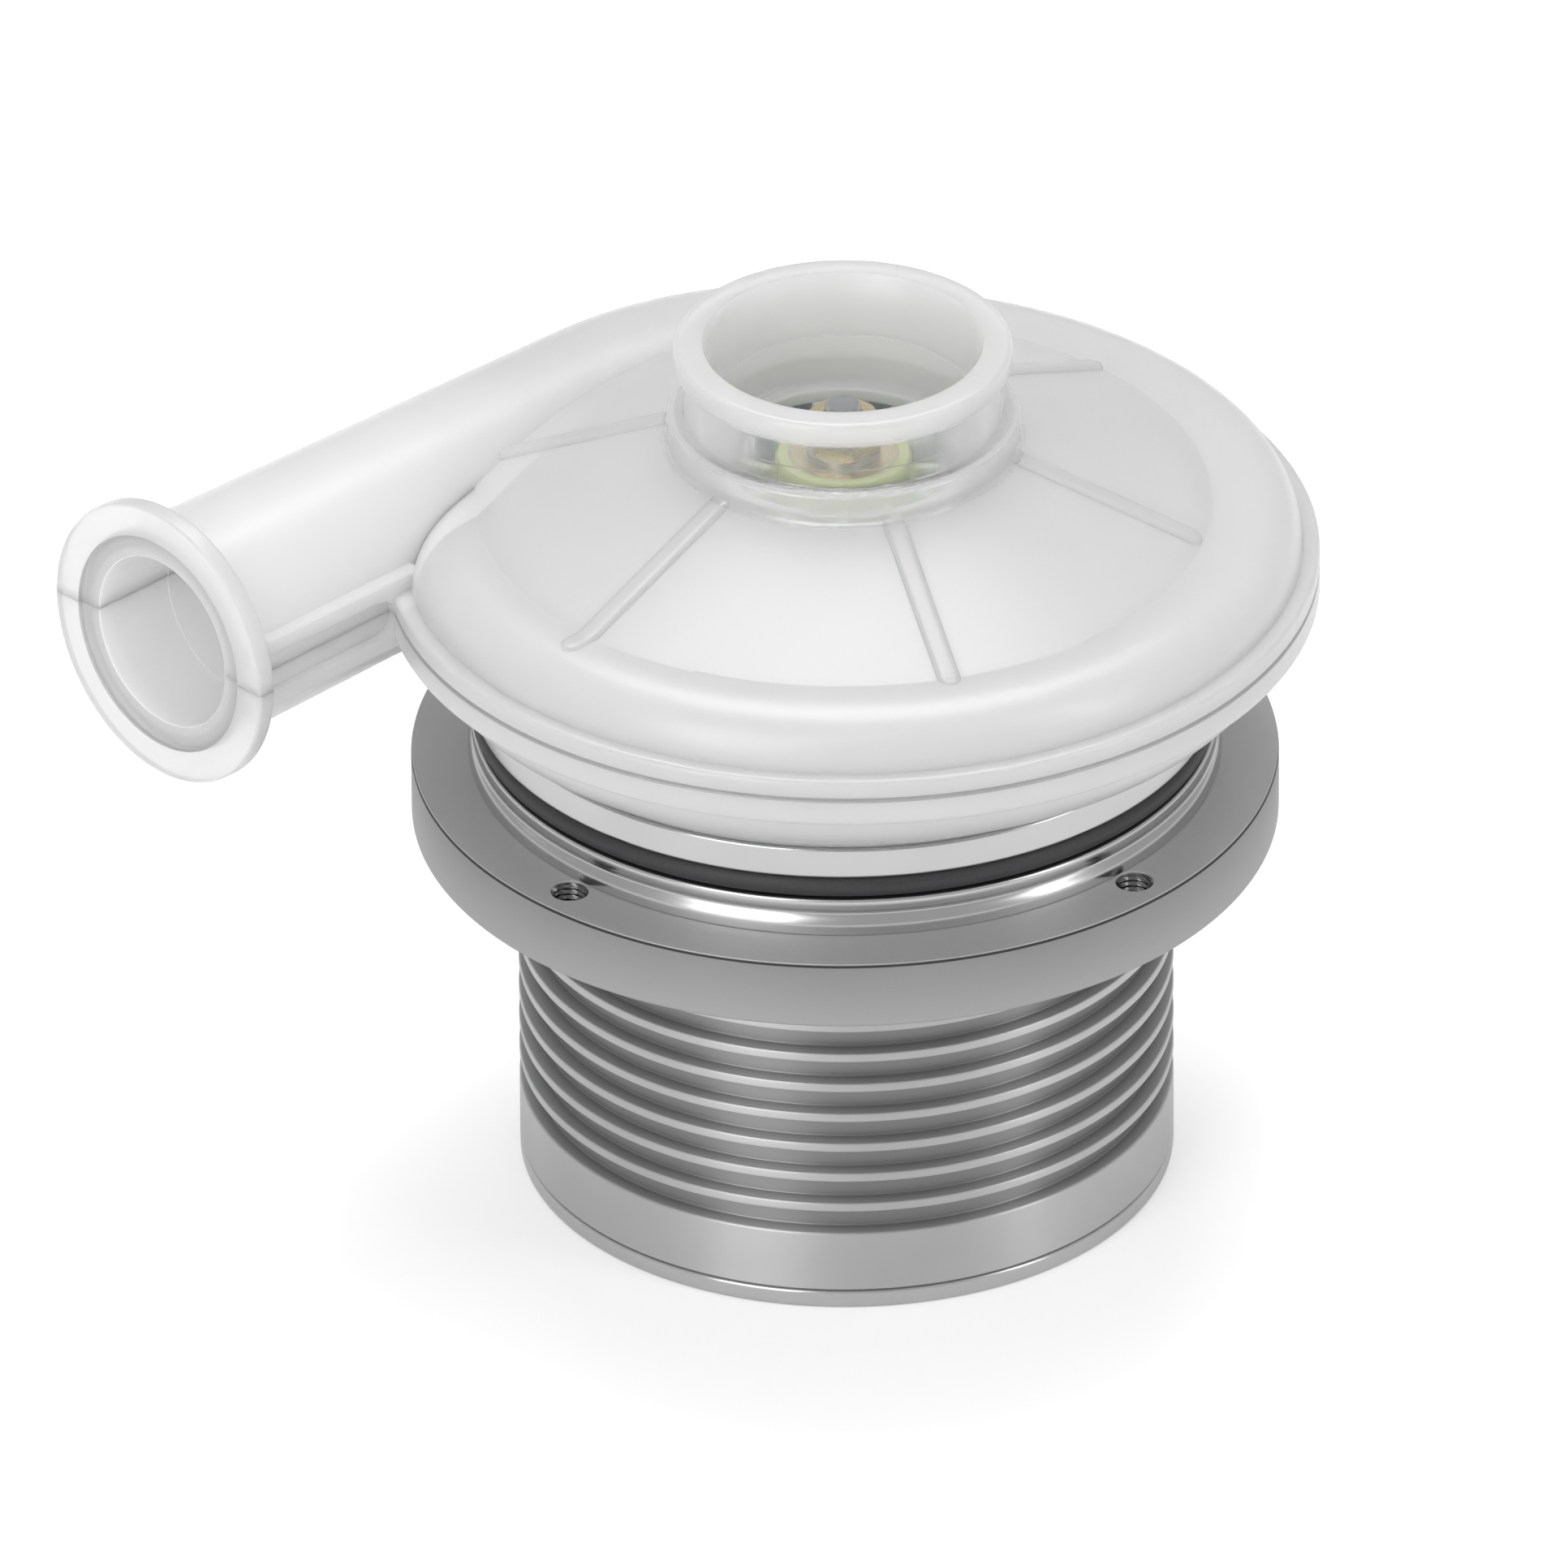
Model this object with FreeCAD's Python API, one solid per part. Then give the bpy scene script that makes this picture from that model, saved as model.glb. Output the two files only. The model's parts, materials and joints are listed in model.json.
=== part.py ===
# Air blower: a small radial fan with a moulded two-half volute on a finned motor barrel.
# The frame is in millimetres, +Z up, with the origin on the shaft axis at the underside of the base cap.
# The outlet tube points along -X and the rotor turns counter-clockwise seen from above.
import FreeCAD
import Part
import math
import os

from FreeCAD import Vector

Z_AXIS = Vector(0, 0, 1)
ORIGIN = Vector(0, 0, 0)
FULL_TURN = 360.0

# Fits and clearances, all measured on the radius
fit_gap = 0.02
running_gap = 0.6
ball_gap = 0.06
edge_break = 0.25

# How far a cutting shape runs past the face that it cuts through
overshoot = 1.0

# Motor barrel with its cooling fins
cap_thickness = 1.6
cap_rim_round = 0.5
barrel_radius = 26.5
barrel_wall = 4.5
throat_step = 1.6
barrel_band_height = 5.5
fin_pitch = 2.8
fin_thickness = 0.8
fin_depth = 1.3
fin_count = 8
flange_shoulder = 0.6

# Mounting flange with its tapped holes
flange_radius = 35.0
flange_thickness = 5.8
bolt_edge_distance = 3.0
bolt_hole_radius = 1.25
bolt_hole_count = 4
bolt_countersink = 0.3
# A shallow groove in the underside lets a panel lie flat on the flange beside the fins.
seat_relief_gap = 0.4
seat_relief_depth = 0.4
# The ribs and the tapped holes are turned by this from the direction of the outlet.
clock_angle = 2.4

# Neck plate between flange and volute
neck_radius = 30.1
neck_height = 7.8
neck_foot_stand_out = 0.3
neck_foot_height = 1.0
neck_bead_height = 1.0
seal_section_radius = 1.0
seal_height = 4.1
seal_stand_out = 0.1
neck_relief_depth = 2.4
neck_spigot_depth = 3.0

# Volute: a scroll of growing radius that ends in a slightly flared tube
volute_floor = 1.8
bowl_depth = 8.9
scroll_wall = 1.8
scroll_floor_wall = 2.0
scroll_start_angle = 150.0
scroll_end_angle = 450.0
scroll_start_radius = 35.6
scroll_growth = 2.5
scroll_half_width = 6.0
scroll_roof = 5.95
scroll_roof_fullness = 3.0
scroll_bowl_fullness = 2.2
merge_angle = 390.0
# The scroll and its lip run on into the tube by these angles, so that their ends are buried there.
scroll_lead_angle = 15.0
lip_lead_angle = 8.0
lip_run_out_angle = 18.0
tongue_angle = 2.0
lip_width = 1.3
lip_above = 1.7
lip_below = 2.4
lip_root = 1.0
tube_throat_radius = 8.7
tube_mouth_radius = 9.5
tube_length = 48.1
socket_radius = 7.3
socket_depth = 8.0
tube_flange_radius = 12.0
tube_flange_thickness = 1.6
ledge_stand_out = 0.45
ledge_outer_height = 3.15
ledge_inner_height = 1.75
ledge_end_gap = 3.0
ledge_root = 1.5

# Cone, ribs and inlet collar on top of the volute
cone_edge_radius = 29.9
cone_edge_height = 5.8
cone_rise = 5.9
cone_wall = 1.9
rib_count = 6
rib_width = 1.7
rib_height = 0.9
rib_round = 0.5
collar_radius = 14.2
collar_height = 2.7
collar_groove_radius = 12.9
collar_groove_height = 4.4
collar_lip_radius = 13.6
collar_lip_height = 1.8
collar_lip_round = 0.6
inlet_bore = 10.5
inlet_mouth_radius = 11.3
inlet_mouth_depth = 2.2
# A ledge in the inlet bore stops what is pushed into it just above the end of the shaft.
inlet_stop_width = 0.3
inlet_stop_gap = 0.3
eye_radius = 9.1
eye_ring_thickness = 1.2
cavity_radius = 28.0
floor_hole_radius = 5.0

# Impeller and what holds it on the shaft
impeller_tip_gap = 1.2
impeller_plate_gap = 0.7
impeller_plate = 1.3
impeller_hub_wall = 1.0
blade_count = 11
blade_thickness = 0.9
blade_sweep = 48.0
blade_root_radius = 5.0
# The middle point of the hub's curve, as shares of the way in from the rim and of the way up.
hub_curve_in = 0.68
hub_curve_up = 0.3
bush_radius = 4.4
bush_end_wall = 1.5
washer_radius = 3.0
washer_thickness = 0.5
nut_across_flats = 5.5
nut_height = 2.4
thread_radius = 1.5
thread_stand_out = 1.0
spacer_radius = 3.6
spacer_gap = 0.5

# Shaft and ball bearings
shaft_radius = 2.5
shaft_shoulder_radius = 3.2
shaft_end_gap = 0.5
bearing_radius = 8.0
bearing_width = 5.0
bearing_inner_radius = 4.1
bearing_outer_bore = 6.4
ball_radius = 1.35
ball_count = 7
cage_thickness = 1.1
cage_height = 3.8
shield_thickness = 0.3
shield_recess = 0.05
shield_gap = 0.15
front_bearing_depth = 1.1
bearing_seat_lip = 1.6
bearing_boss_wall = 2.2
bearing_boss_margin = 0.6
spring_height = 1.0
spring_thickness = 0.35
spring_width = 2.7
spring_side_gap = 0.1

# Motor: rotor, stator and sensors
core_bottom = 11.6
core_length = 14.0
air_gap = 0.5
rotor_core_radius = 4.8
magnet_radius = 7.4
sleeve_radius = 7.8
magnet_overhang = 0.8
balance_ring_height = 1.4
pole_count = 6
tooth_width = 4.0
pole_shoe_depth = 1.4
pole_shoe_angle = 50.0
yoke_thickness = 4.1
insulator_thickness = 1.0
insulator_edge_gap = 2.0
coil_inner_radius = 10.2
coil_yoke_gap = 0.5
coil_thickness = 2.0
coil_gap = 0.1
coil_round_share = 0.9
skirt_thickness = 2.25
skirt_ledge_height = 3.8
skirt_ledge_width = 0.8
board_thickness = 1.0
board_inner_gap = 0.4
sensor_count = 3
sensor_length = 3.0
sensor_width = 1.6
sensor_height = 1.5
sensor_circle_radius = 12.4

# Fasteners and the cable inlet
cap_screw_edge_distance = 2.4
cap_screw_radius = 1.0
cap_screw_head_radius = 1.85
cap_screw_head_height = 1.1
cap_screw_length = 4.4
barrel_screw_radius = 1.25
barrel_screw_head_radius = 2.25
barrel_screw_head_height = 2.5
barrel_screw_length = 12.0
screw_head_gap = 0.2
volute_screw_circle = 17.0
volute_screw_radius = 1.25
volute_screw_head_radius = 2.3
volute_screw_head_height = 1.2
volute_screw_length = 4.6
screw_count = 4
socket_key_radius = 1.1
socket_key_depth = 1.2
# Size and depth of the key socket in a countersunk head, as shares of the shank and of the head.
flush_key_share = 0.8
flush_key_depth_share = 0.7
cable_angle = 45.0
grommet_radius = 2.0
grommet_flange_radius = 2.6
grommet_flange = 0.8
grommet_bore = 1.2

# Radii that follow from the sizes above
barrel_bore = barrel_radius - barrel_wall
barrel_throat = barrel_bore - throat_step
fin_root_radius = barrel_radius - fin_depth
spigot_radius = fin_root_radius - flange_shoulder
barrel_screw_circle = (barrel_throat + spigot_radius) / 2
cap_screw_circle = barrel_radius - cap_screw_edge_distance
bolt_circle_radius = flange_radius - bolt_edge_distance
neck_foot_radius = neck_radius + neck_foot_stand_out
yoke_inner_radius = barrel_bore - yoke_thickness
insulator_radius = barrel_bore - insulator_edge_gap
coil_outer_radius = yoke_inner_radius - coil_yoke_gap

# Levels along the axis, and what follows from them
fins_bottom = cap_thickness + barrel_band_height
flange_bottom = fins_bottom + fin_count * fin_pitch + (fin_pitch - fin_thickness)
flange_top = flange_bottom + flange_thickness
neck_top = flange_top + neck_height
floor_top = neck_top + volute_floor
parting = neck_top + bowl_depth
cone_edge = parting + cone_edge_height
cone_top = cone_edge + cone_rise
eye_bottom = cone_top - cone_wall
eye_top = eye_bottom + eye_ring_thickness
collar_shoulder = cone_top + collar_height
collar_lip_bottom = collar_shoulder + collar_groove_height
inlet_top = collar_lip_bottom + collar_lip_height
core_top = core_bottom + core_length
rear_bearing_bottom = cap_thickness + spring_height
rear_bearing_top = rear_bearing_bottom + bearing_width
front_bearing_top = flange_top + front_bearing_depth
front_bearing_bottom = front_bearing_top - bearing_width
impeller_bottom = floor_top + impeller_plate_gap
hub_top = eye_top
thread_start = hub_top - bush_end_wall
nut_bottom = hub_top + washer_thickness
nut_top = nut_bottom + nut_height
shaft_bottom = rear_bearing_bottom - shaft_end_gap
shaft_top = nut_top + thread_stand_out
inlet_stop = shaft_top + inlet_stop_gap
neck_bore = spacer_radius + spacer_gap
impeller_radius = cavity_radius - impeller_tip_gap
cone_slope = cone_rise / (cone_edge_radius - collar_radius)
tube_axis_y = scroll_start_radius + scroll_growth - tube_throat_radius
outlet_face_x = -tube_length
skirt_radius = barrel_bore - fit_gap
skirt_bore = skirt_radius - skirt_thickness
ledge_bore = skirt_bore + skirt_ledge_width
board_bottom = cap_thickness + skirt_ledge_height
board_top = board_bottom + board_thickness
boss_radius = bearing_radius + bearing_boss_wall
cable_height = cap_thickness + barrel_band_height / 2


def cylinder(radius, bottom, top):
    return Part.makeCylinder(radius, top - bottom, Vector(0, 0, bottom))


def ring(inner, outer, bottom, top):
    return cylinder(outer, bottom, top).cut(cylinder(inner, bottom - overshoot, top + overshoot))


def turned(points):
    """A turned solid: the closed outline of (radius, height) points swept about the axis."""
    corners = [Vector(r, 0, z) for r, z in points]
    face = Part.Face(Part.makePolygon(corners + corners[:1]))
    return face.revolve(ORIGIN, Z_AXIS, FULL_TURN)


def turned_about(shape, angle):
    copy = shape.copy()
    copy.rotate(ORIGIN, Z_AXIS, angle)
    return copy


def around(shape, count, start=0.0):
    return [turned_about(shape, start + FULL_TURN * i / count) for i in range(count)]


def on_circle(radius, angle, height):
    turn = math.radians(angle)
    return Vector(radius * math.cos(turn), radius * math.sin(turn), height)


def radial_cylinder(radius, start, end, height):
    """A cylinder along +X from one distance from the axis to another."""
    return Part.makeCylinder(radius, end - start, Vector(start, 0, height), Vector(1, 0, 0))


def cone_height(radius):
    """Height of the outer face of the cone at a radius."""
    return cone_edge + (cone_edge_radius - radius) * cone_slope


# Volute

def scroll_radius(angle):
    """Radius of the scroll's outer wall, which grows evenly with the angle."""
    share = (angle - scroll_start_angle) / (scroll_end_angle - scroll_start_angle)
    return scroll_start_radius + scroll_growth * share


def merge_share(angle):
    """0 along the scroll and 1 where it has become the round tube, with a smooth start and end."""
    share = min(max((angle - merge_angle) / (scroll_end_angle - merge_angle), 0.0), 1.0)
    return share * share * (3 - 2 * share)


def mixed(first, second, share):
    return first + (second - first) * share


def section_points(centre, half_width, roof, bowl, fullness_up, fullness_down):
    """Points of a superellipse whose upper and lower halves differ in height and fullness."""
    count = 32
    points = []
    for i in range(count):
        turn = 2 * math.pi * i / count
        above = math.sin(turn) >= 0
        height = roof if above else bowl
        power = fullness_up if above else fullness_down
        across = (abs(math.cos(turn)) / half_width) ** power
        upward = (abs(math.sin(turn)) / height) ** power
        reach = (across + upward) ** (-1 / power)
        points.append((centre + reach * math.cos(turn), parting + reach * math.sin(turn)))
    return points


def closed_curve(points):
    curve = Part.BSplineCurve()
    curve.interpolate(Points=points, PeriodicFlag=True)
    return Part.Wire(curve.toShape())


def scroll_section(angle, wall, floor_wall):
    """Section of the scroll in the half plane at an angle, drawn in from the outer face by the wall."""
    share = merge_share(angle)
    half_width = mixed(scroll_half_width, tube_throat_radius, share)
    centre = scroll_radius(angle) - half_width
    points = section_points(
        centre,
        half_width - wall,
        mixed(scroll_roof, tube_throat_radius, share) - wall,
        mixed(bowl_depth - floor_wall, tube_throat_radius - wall, share),
        mixed(scroll_roof_fullness, 2.0, share),
        mixed(scroll_bowl_fullness, 2.0, share),
    )
    return closed_curve([on_circle(r, angle, z) for r, z in points])


def tube_section(x, radius):
    points = section_points(tube_axis_y, radius, radius, radius, 2.0, 2.0)
    return closed_curve([Vector(x, y, z) for y, z in points])


def scroll_body(start_angle, wall, floor_wall):
    """The scroll from a start angle to the outlet face, as two lofts that share one section."""
    steps = 12
    angles = [mixed(start_angle, merge_angle, i / steps) for i in range(steps + 1)]
    scroll = Part.makeLoft([scroll_section(a, wall, floor_wall) for a in angles], True, False)
    merge_steps = 6
    angles = [mixed(merge_angle, scroll_end_angle, i / merge_steps) for i in range(merge_steps + 1)]
    sections = [scroll_section(a, wall, floor_wall) for a in angles]
    tube_steps = 5
    inner_wall = tube_mouth_radius - socket_radius if wall else 0.0
    for i in range(1, tube_steps + 1):
        share = i / tube_steps
        radius = mixed(tube_throat_radius - wall, tube_mouth_radius - inner_wall, share)
        sections.append(tube_section(outlet_face_x * share, radius))
    return scroll.fuse(Part.makeLoft(sections, True, False))


def lip_band():
    """The band round the parting line: a flat plate between the growing lip and the core of the volute."""
    start = scroll_start_angle - lip_lead_angle
    end = scroll_end_angle + lip_run_out_angle
    steps = 24
    outline = []
    for i in range(steps + 1):
        angle = mixed(start, end, i / steps)
        reach = scroll_radius(angle) + lip_width
        outline.append(on_circle(reach, angle, 0))
    curve = Part.BSplineCurve()
    curve.interpolate(Points=outline)
    inner = cone_edge_radius - lip_root
    first = on_circle(inner, start, 0)
    centre = on_circle(inner, (start + end) / 2, 0)
    last = on_circle(inner, end, 0)
    edges = [
        curve.toShape(),
        Part.LineSegment(outline[-1], last).toShape(),
        Part.Arc(last, centre, first).toShape(),
        Part.LineSegment(first, outline[0]).toShape(),
    ]
    band = Part.Face(Part.Wire(edges)).extrude(Vector(0, 0, lip_below + lip_above))
    band.translate(Vector(0, 0, parting - lip_below))
    return band


def tube_ledges():
    """Two ledges along the tube's inner side, with a pocket between them that ends short of the volute."""
    outer_y = tube_axis_y - tube_mouth_radius - ledge_stand_out
    root_y = tube_axis_y - socket_radius - (tube_mouth_radius - socket_radius) / 2
    start_x = outlet_face_x + tube_flange_thickness / 2
    lip_reach = scroll_radius(scroll_start_angle)
    end_x = -math.sqrt(lip_reach ** 2 - outer_y ** 2) + ledge_root
    pad = Part.makeBox(
        end_x - start_x,
        root_y - outer_y,
        2 * ledge_outer_height,
        Vector(start_x, outer_y, parting - ledge_outer_height),
    )
    pocket_end = end_x - ledge_end_gap
    pocket = Part.makeBox(
        pocket_end - ledge_inner_height - start_x,
        root_y - outer_y + 2 * overshoot,
        2 * ledge_inner_height,
        Vector(start_x, outer_y - overshoot, parting - ledge_inner_height),
    )
    round_end = Part.makeCylinder(
        ledge_inner_height,
        root_y - outer_y + 2 * overshoot,
        Vector(pocket_end - ledge_inner_height, outer_y - overshoot, parting),
        Vector(0, 1, 0),
    )
    return pad.cut(pocket.fuse(round_end))


def outlet_flange():
    return Part.makeCylinder(
        tube_flange_radius,
        tube_flange_thickness,
        Vector(outlet_face_x, tube_axis_y, parting),
        Vector(1, 0, 0),
    )


def outlet_socket():
    return Part.makeCylinder(
        socket_radius,
        socket_depth + overshoot,
        Vector(outlet_face_x - overshoot, tube_axis_y, parting),
        Vector(1, 0, 0),
    )


def volute_core():
    """Cone, inlet collar and the round body below them, as one turned solid."""
    corner = collar_lip_radius - collar_lip_round
    return turned([
        (0, neck_top),
        (cone_edge_radius, neck_top),
        (cone_edge_radius, cone_edge),
        (collar_radius, cone_top),
        (collar_radius, collar_shoulder - edge_break),
        (collar_radius - edge_break, collar_shoulder),
        (collar_groove_radius, collar_shoulder),
        (collar_groove_radius, collar_lip_bottom),
        (collar_lip_radius, collar_lip_bottom),
        (collar_lip_radius, inlet_top - collar_lip_round),
        (corner, inlet_top),
        (0, inlet_top),
    ])


def rib():
    """One rounded rib on the cone, with rounded ends, from the collar to the cone's edge."""
    start = collar_radius - edge_break
    end = cone_edge_radius
    depth = cone_wall / 2
    half = rib_width / 2
    profile = [
        Vector(start, -half, cone_height(start) - depth),
        Vector(end, -half, cone_height(end) - depth),
        Vector(end, -half, cone_height(end) + rib_height),
        Vector(start, -half, cone_height(start) + rib_height),
    ]
    bar = Part.Face(Part.makePolygon(profile + profile[:1])).extrude(Vector(0, rib_width, 0))
    plan = Part.makeBox(end - half - start, rib_width, inlet_top, Vector(start, -half, 0))
    plan = plan.fuse(Part.makeCylinder(half, inlet_top, Vector(end - half, 0, 0)))
    bar = bar.common(plan).removeSplitter()
    crest = rib_height - fit_gap
    top_edges = [e for e in bar.Edges if e.CenterOfMass.z > cone_height(e.CenterOfMass.x) + crest]
    long_edges = [e for e in top_edges if e.CenterOfMass.x > start + edge_break]
    return bar.makeFillet(rib_round, long_edges)


def volute_cavity():
    """The space that the impeller runs in, with the inlet bore above it."""
    return turned([
        (0, floor_top),
        (cavity_radius, floor_top),
        (cavity_radius, cone_height(cavity_radius) - cone_wall),
        (collar_radius, eye_bottom),
        (eye_radius, eye_bottom),
        (eye_radius, eye_top),
        (inlet_bore - inlet_stop_width, eye_top),
        (inlet_bore - inlet_stop_width, inlet_stop),
        (inlet_bore, inlet_stop),
        (inlet_bore, inlet_top - inlet_mouth_depth),
        (inlet_mouth_radius, inlet_top),
        (inlet_mouth_radius, inlet_top + overshoot),
        (0, inlet_top + overshoot),
    ])


def volute_halves():
    """The upper and lower shells of the volute, parted at the height of the tube's axis."""
    outer = scroll_body(scroll_start_angle - scroll_lead_angle, 0.0, 0.0)
    outer = outer.fuse([volute_core(), lip_band(), tube_ledges(), outlet_flange()])
    outer = outer.fuse(around(rib(), rib_count, clock_angle))
    inner = scroll_body(scroll_start_angle + tongue_angle, scroll_wall, scroll_floor_wall)
    shell = outer.cut(inner).cut(volute_cavity()).cut(outlet_socket())
    span = 2 * (tube_length + flange_radius)
    corner = Vector(-span / 2, -span / 2, parting)
    upper_half = Part.makeBox(span, span, inlet_top, corner)
    lower_half = Part.makeBox(span, span, parting, Vector(corner.x, corner.y, 0))
    return shell.common(upper_half), shell.common(lower_half)


def volute_bottom_with_holes(lower):
    holes = [screw_hole(volute_screw_head_radius, volute_screw_radius, volute_screw_head_height,
                        volute_screw_length, floor_top)]
    lower = lower.cut(cylinder(floor_hole_radius, neck_top - overshoot, floor_top + overshoot))
    for hole in holes:
        hole.translate(Vector(volute_screw_circle, 0, 0))
        lower = lower.cut(around(hole, screw_count))
    return lower


# Fasteners

def screw_hole(head_radius, shank_radius, head_height, length, top):
    """A countersunk hole on the axis whose mouth is at the given height."""
    return turned([
        (0, top - head_height - length),
        (shank_radius, top - head_height - length),
        (shank_radius, top - head_height),
        (head_radius, top),
        (head_radius, top + overshoot),
        (0, top + overshoot),
    ])


def countersunk_screw(head_radius, shank_radius, head_height, length, top):
    """A countersunk screw with a hexagon socket, its head flush with the given height."""
    body = turned([
        (0, top - head_height - length),
        (shank_radius - edge_break - fit_gap, top - head_height - length),
        (shank_radius - fit_gap, top - head_height - length + edge_break),
        (shank_radius - fit_gap, top - head_height),
        (head_radius - fit_gap, top),
        (0, top),
    ])
    key_bottom = top - head_height * flush_key_depth_share
    return body.cut(hexagon(shank_radius * flush_key_share, key_bottom, top + overshoot))


def hexagon(flat_radius, bottom, top):
    """A hexagonal prism on the axis, given half its width across the flats."""
    reach = flat_radius / math.cos(math.radians(30))
    corners = []
    for i in range(6):
        turn = math.radians(60 * i)
        corners.append(Vector(reach * math.cos(turn), reach * math.sin(turn), bottom))
    return Part.Face(Part.makePolygon(corners + corners[:1])).extrude(Vector(0, 0, top - bottom))


def volute_screws():
    screw = countersunk_screw(volute_screw_head_radius, volute_screw_radius, volute_screw_head_height,
                              volute_screw_length, floor_top)
    screw.translate(Vector(volute_screw_circle, 0, 0))
    return around(screw, screw_count)


def base_cap_screws():
    screw = countersunk_screw(cap_screw_head_radius, cap_screw_radius, cap_screw_head_height,
                              cap_screw_length, 0)
    screw.rotate(ORIGIN, Vector(1, 0, 0), 180)
    screw.translate(Vector(cap_screw_circle, 0, 0))
    return around(screw, screw_count)


def base_cap_screw_hole():
    hole = screw_hole(cap_screw_head_radius, cap_screw_radius, cap_screw_head_height, cap_screw_length, 0)
    hole.rotate(ORIGIN, Vector(1, 0, 0), 180)
    hole.translate(Vector(cap_screw_circle, 0, 0))
    return hole


def barrel_screws():
    """Socket-head screws that hold the neck plate and the flange on the barrel."""
    seat = neck_top - screw_head_gap - barrel_screw_head_height
    head = cylinder(barrel_screw_head_radius, seat, seat + barrel_screw_head_height)
    key = hexagon(socket_key_radius, seat + barrel_screw_head_height - socket_key_depth, neck_top)
    shank = cylinder(barrel_screw_radius - fit_gap, seat - barrel_screw_length, seat)
    screw = head.fuse(shank).removeSplitter().cut(key)
    screw.translate(Vector(barrel_screw_circle, 0, 0))
    return around(screw, screw_count, cable_angle)


def barrel_screw_hole():
    seat = neck_top - screw_head_gap - barrel_screw_head_height
    hole = cylinder(barrel_screw_radius, seat - barrel_screw_length, neck_top)
    hole = hole.fuse(cylinder(barrel_screw_head_radius + screw_head_gap, seat, neck_top + overshoot))
    hole.translate(Vector(barrel_screw_circle, 0, 0))
    return hole


# Metal body

def neck_plate():
    """Turned plate that carries the volute, the seal and the front bearing."""
    seal_middle = flange_top + seal_height
    groove_floor = neck_radius + seal_stand_out - 2 * seal_section_radius
    foot_top = flange_top + neck_foot_height
    bead_top = foot_top + neck_bead_height
    boss_bottom = front_bearing_bottom - bearing_boss_margin
    spigot = barrel_throat - fit_gap
    outline = turned([
        (0, boss_bottom),
        (boss_radius, boss_bottom),
        (boss_radius, flange_top + neck_relief_depth),
        (spigot - bearing_boss_wall, flange_top + neck_relief_depth),
        (spigot - bearing_boss_wall, flange_top - neck_spigot_depth),
        (spigot, flange_top - neck_spigot_depth),
        (spigot, flange_top),
        (neck_foot_radius, flange_top),
        (neck_foot_radius, foot_top - edge_break),
        (neck_foot_radius - edge_break, foot_top),
        (neck_foot_radius - edge_break, foot_top + edge_break),
        (neck_radius + edge_break / 2, foot_top + edge_break),
        (neck_radius + edge_break / 2, bead_top - edge_break),
        (neck_radius - edge_break / 2, bead_top),
        (neck_radius - edge_break / 2, seal_middle - seal_section_radius),
        (groove_floor, seal_middle - seal_section_radius),
        (groove_floor, seal_middle + seal_section_radius),
        (neck_radius, seal_middle + seal_section_radius),
        (neck_radius, neck_top - edge_break),
        (neck_radius - edge_break, neck_top),
        (0, neck_top),
    ])
    seat = cylinder(bearing_radius + fit_gap, boss_bottom - overshoot, front_bearing_top)
    lip = cylinder(bearing_radius - bearing_seat_lip, boss_bottom, front_bearing_top + bearing_boss_margin)
    bore = cylinder(neck_bore, boss_bottom, neck_top + overshoot)
    screw = screw_hole(volute_screw_head_radius, volute_screw_radius, volute_screw_head_height,
                       volute_screw_length, floor_top)
    screw.translate(Vector(volute_screw_circle, 0, 0))
    plate = outline.cut([seat, lip, bore])
    plate = plate.cut(around(screw, screw_count))
    return plate.cut(around(barrel_screw_hole(), screw_count, cable_angle))


def neck_oring():
    centre = neck_radius + seal_stand_out - seal_section_radius
    return Part.makeTorus(centre, seal_section_radius, Vector(0, 0, flange_top + seal_height), Z_AXIS)


def mounting_flange():
    """Flange ring clamped between the barrel and the neck plate, with four tapped holes."""
    body = turned([
        (spigot_radius + fit_gap, flange_bottom),
        (flange_radius - edge_break, flange_bottom),
        (flange_radius, flange_bottom + edge_break),
        (flange_radius, flange_top - edge_break),
        (flange_radius - edge_break, flange_top),
        (spigot_radius + fit_gap, flange_top),
    ])
    wide = bolt_hole_radius + bolt_countersink
    hole = turned([
        (0, flange_bottom - overshoot),
        (wide, flange_bottom - overshoot),
        (wide, flange_bottom),
        (bolt_hole_radius, flange_bottom + bolt_countersink),
        (bolt_hole_radius, flange_top - bolt_countersink),
        (wide, flange_top),
        (wide, flange_top + overshoot),
        (0, flange_top + overshoot),
    ])
    hole.translate(Vector(bolt_circle_radius, 0, 0))
    relief = ring(
        fin_root_radius,
        barrel_radius + seat_relief_gap,
        flange_bottom - overshoot,
        flange_bottom + seat_relief_depth,
    )
    return body.cut(relief).cut(around(hole, bolt_hole_count, clock_angle))


def finned_housing():
    """Motor barrel: a smooth band at the foot, cooling fins above it and a spigot for the flange."""
    outline = [
        (barrel_bore, cap_thickness),
        (barrel_radius - edge_break, cap_thickness),
        (barrel_radius, cap_thickness + edge_break),
        (barrel_radius, fins_bottom - edge_break),
        (barrel_radius - edge_break, fins_bottom),
        (fin_root_radius, fins_bottom),
    ]
    for i in range(fin_count):
        bottom = fins_bottom + (i + 1) * fin_pitch - fin_thickness
        top = bottom + fin_thickness
        outline += [
            (fin_root_radius, bottom),
            (barrel_radius - edge_break, bottom),
            (barrel_radius, bottom + edge_break),
            (barrel_radius, top - edge_break),
            (barrel_radius - edge_break, top),
            (fin_root_radius, top),
        ]
    outline += [
        (fin_root_radius, flange_bottom),
        (spigot_radius, flange_bottom),
        (spigot_radius, flange_top),
        (barrel_throat, flange_top),
        (barrel_throat, core_top),
        (barrel_bore, core_top),
    ]
    barrel = turned(outline)
    barrel = barrel.cut(around(base_cap_screw_hole(), screw_count))
    barrel = barrel.cut(around(barrel_screw_hole(), screw_count, cable_angle))
    return barrel.cut(cable_hole(grommet_radius))


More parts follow.
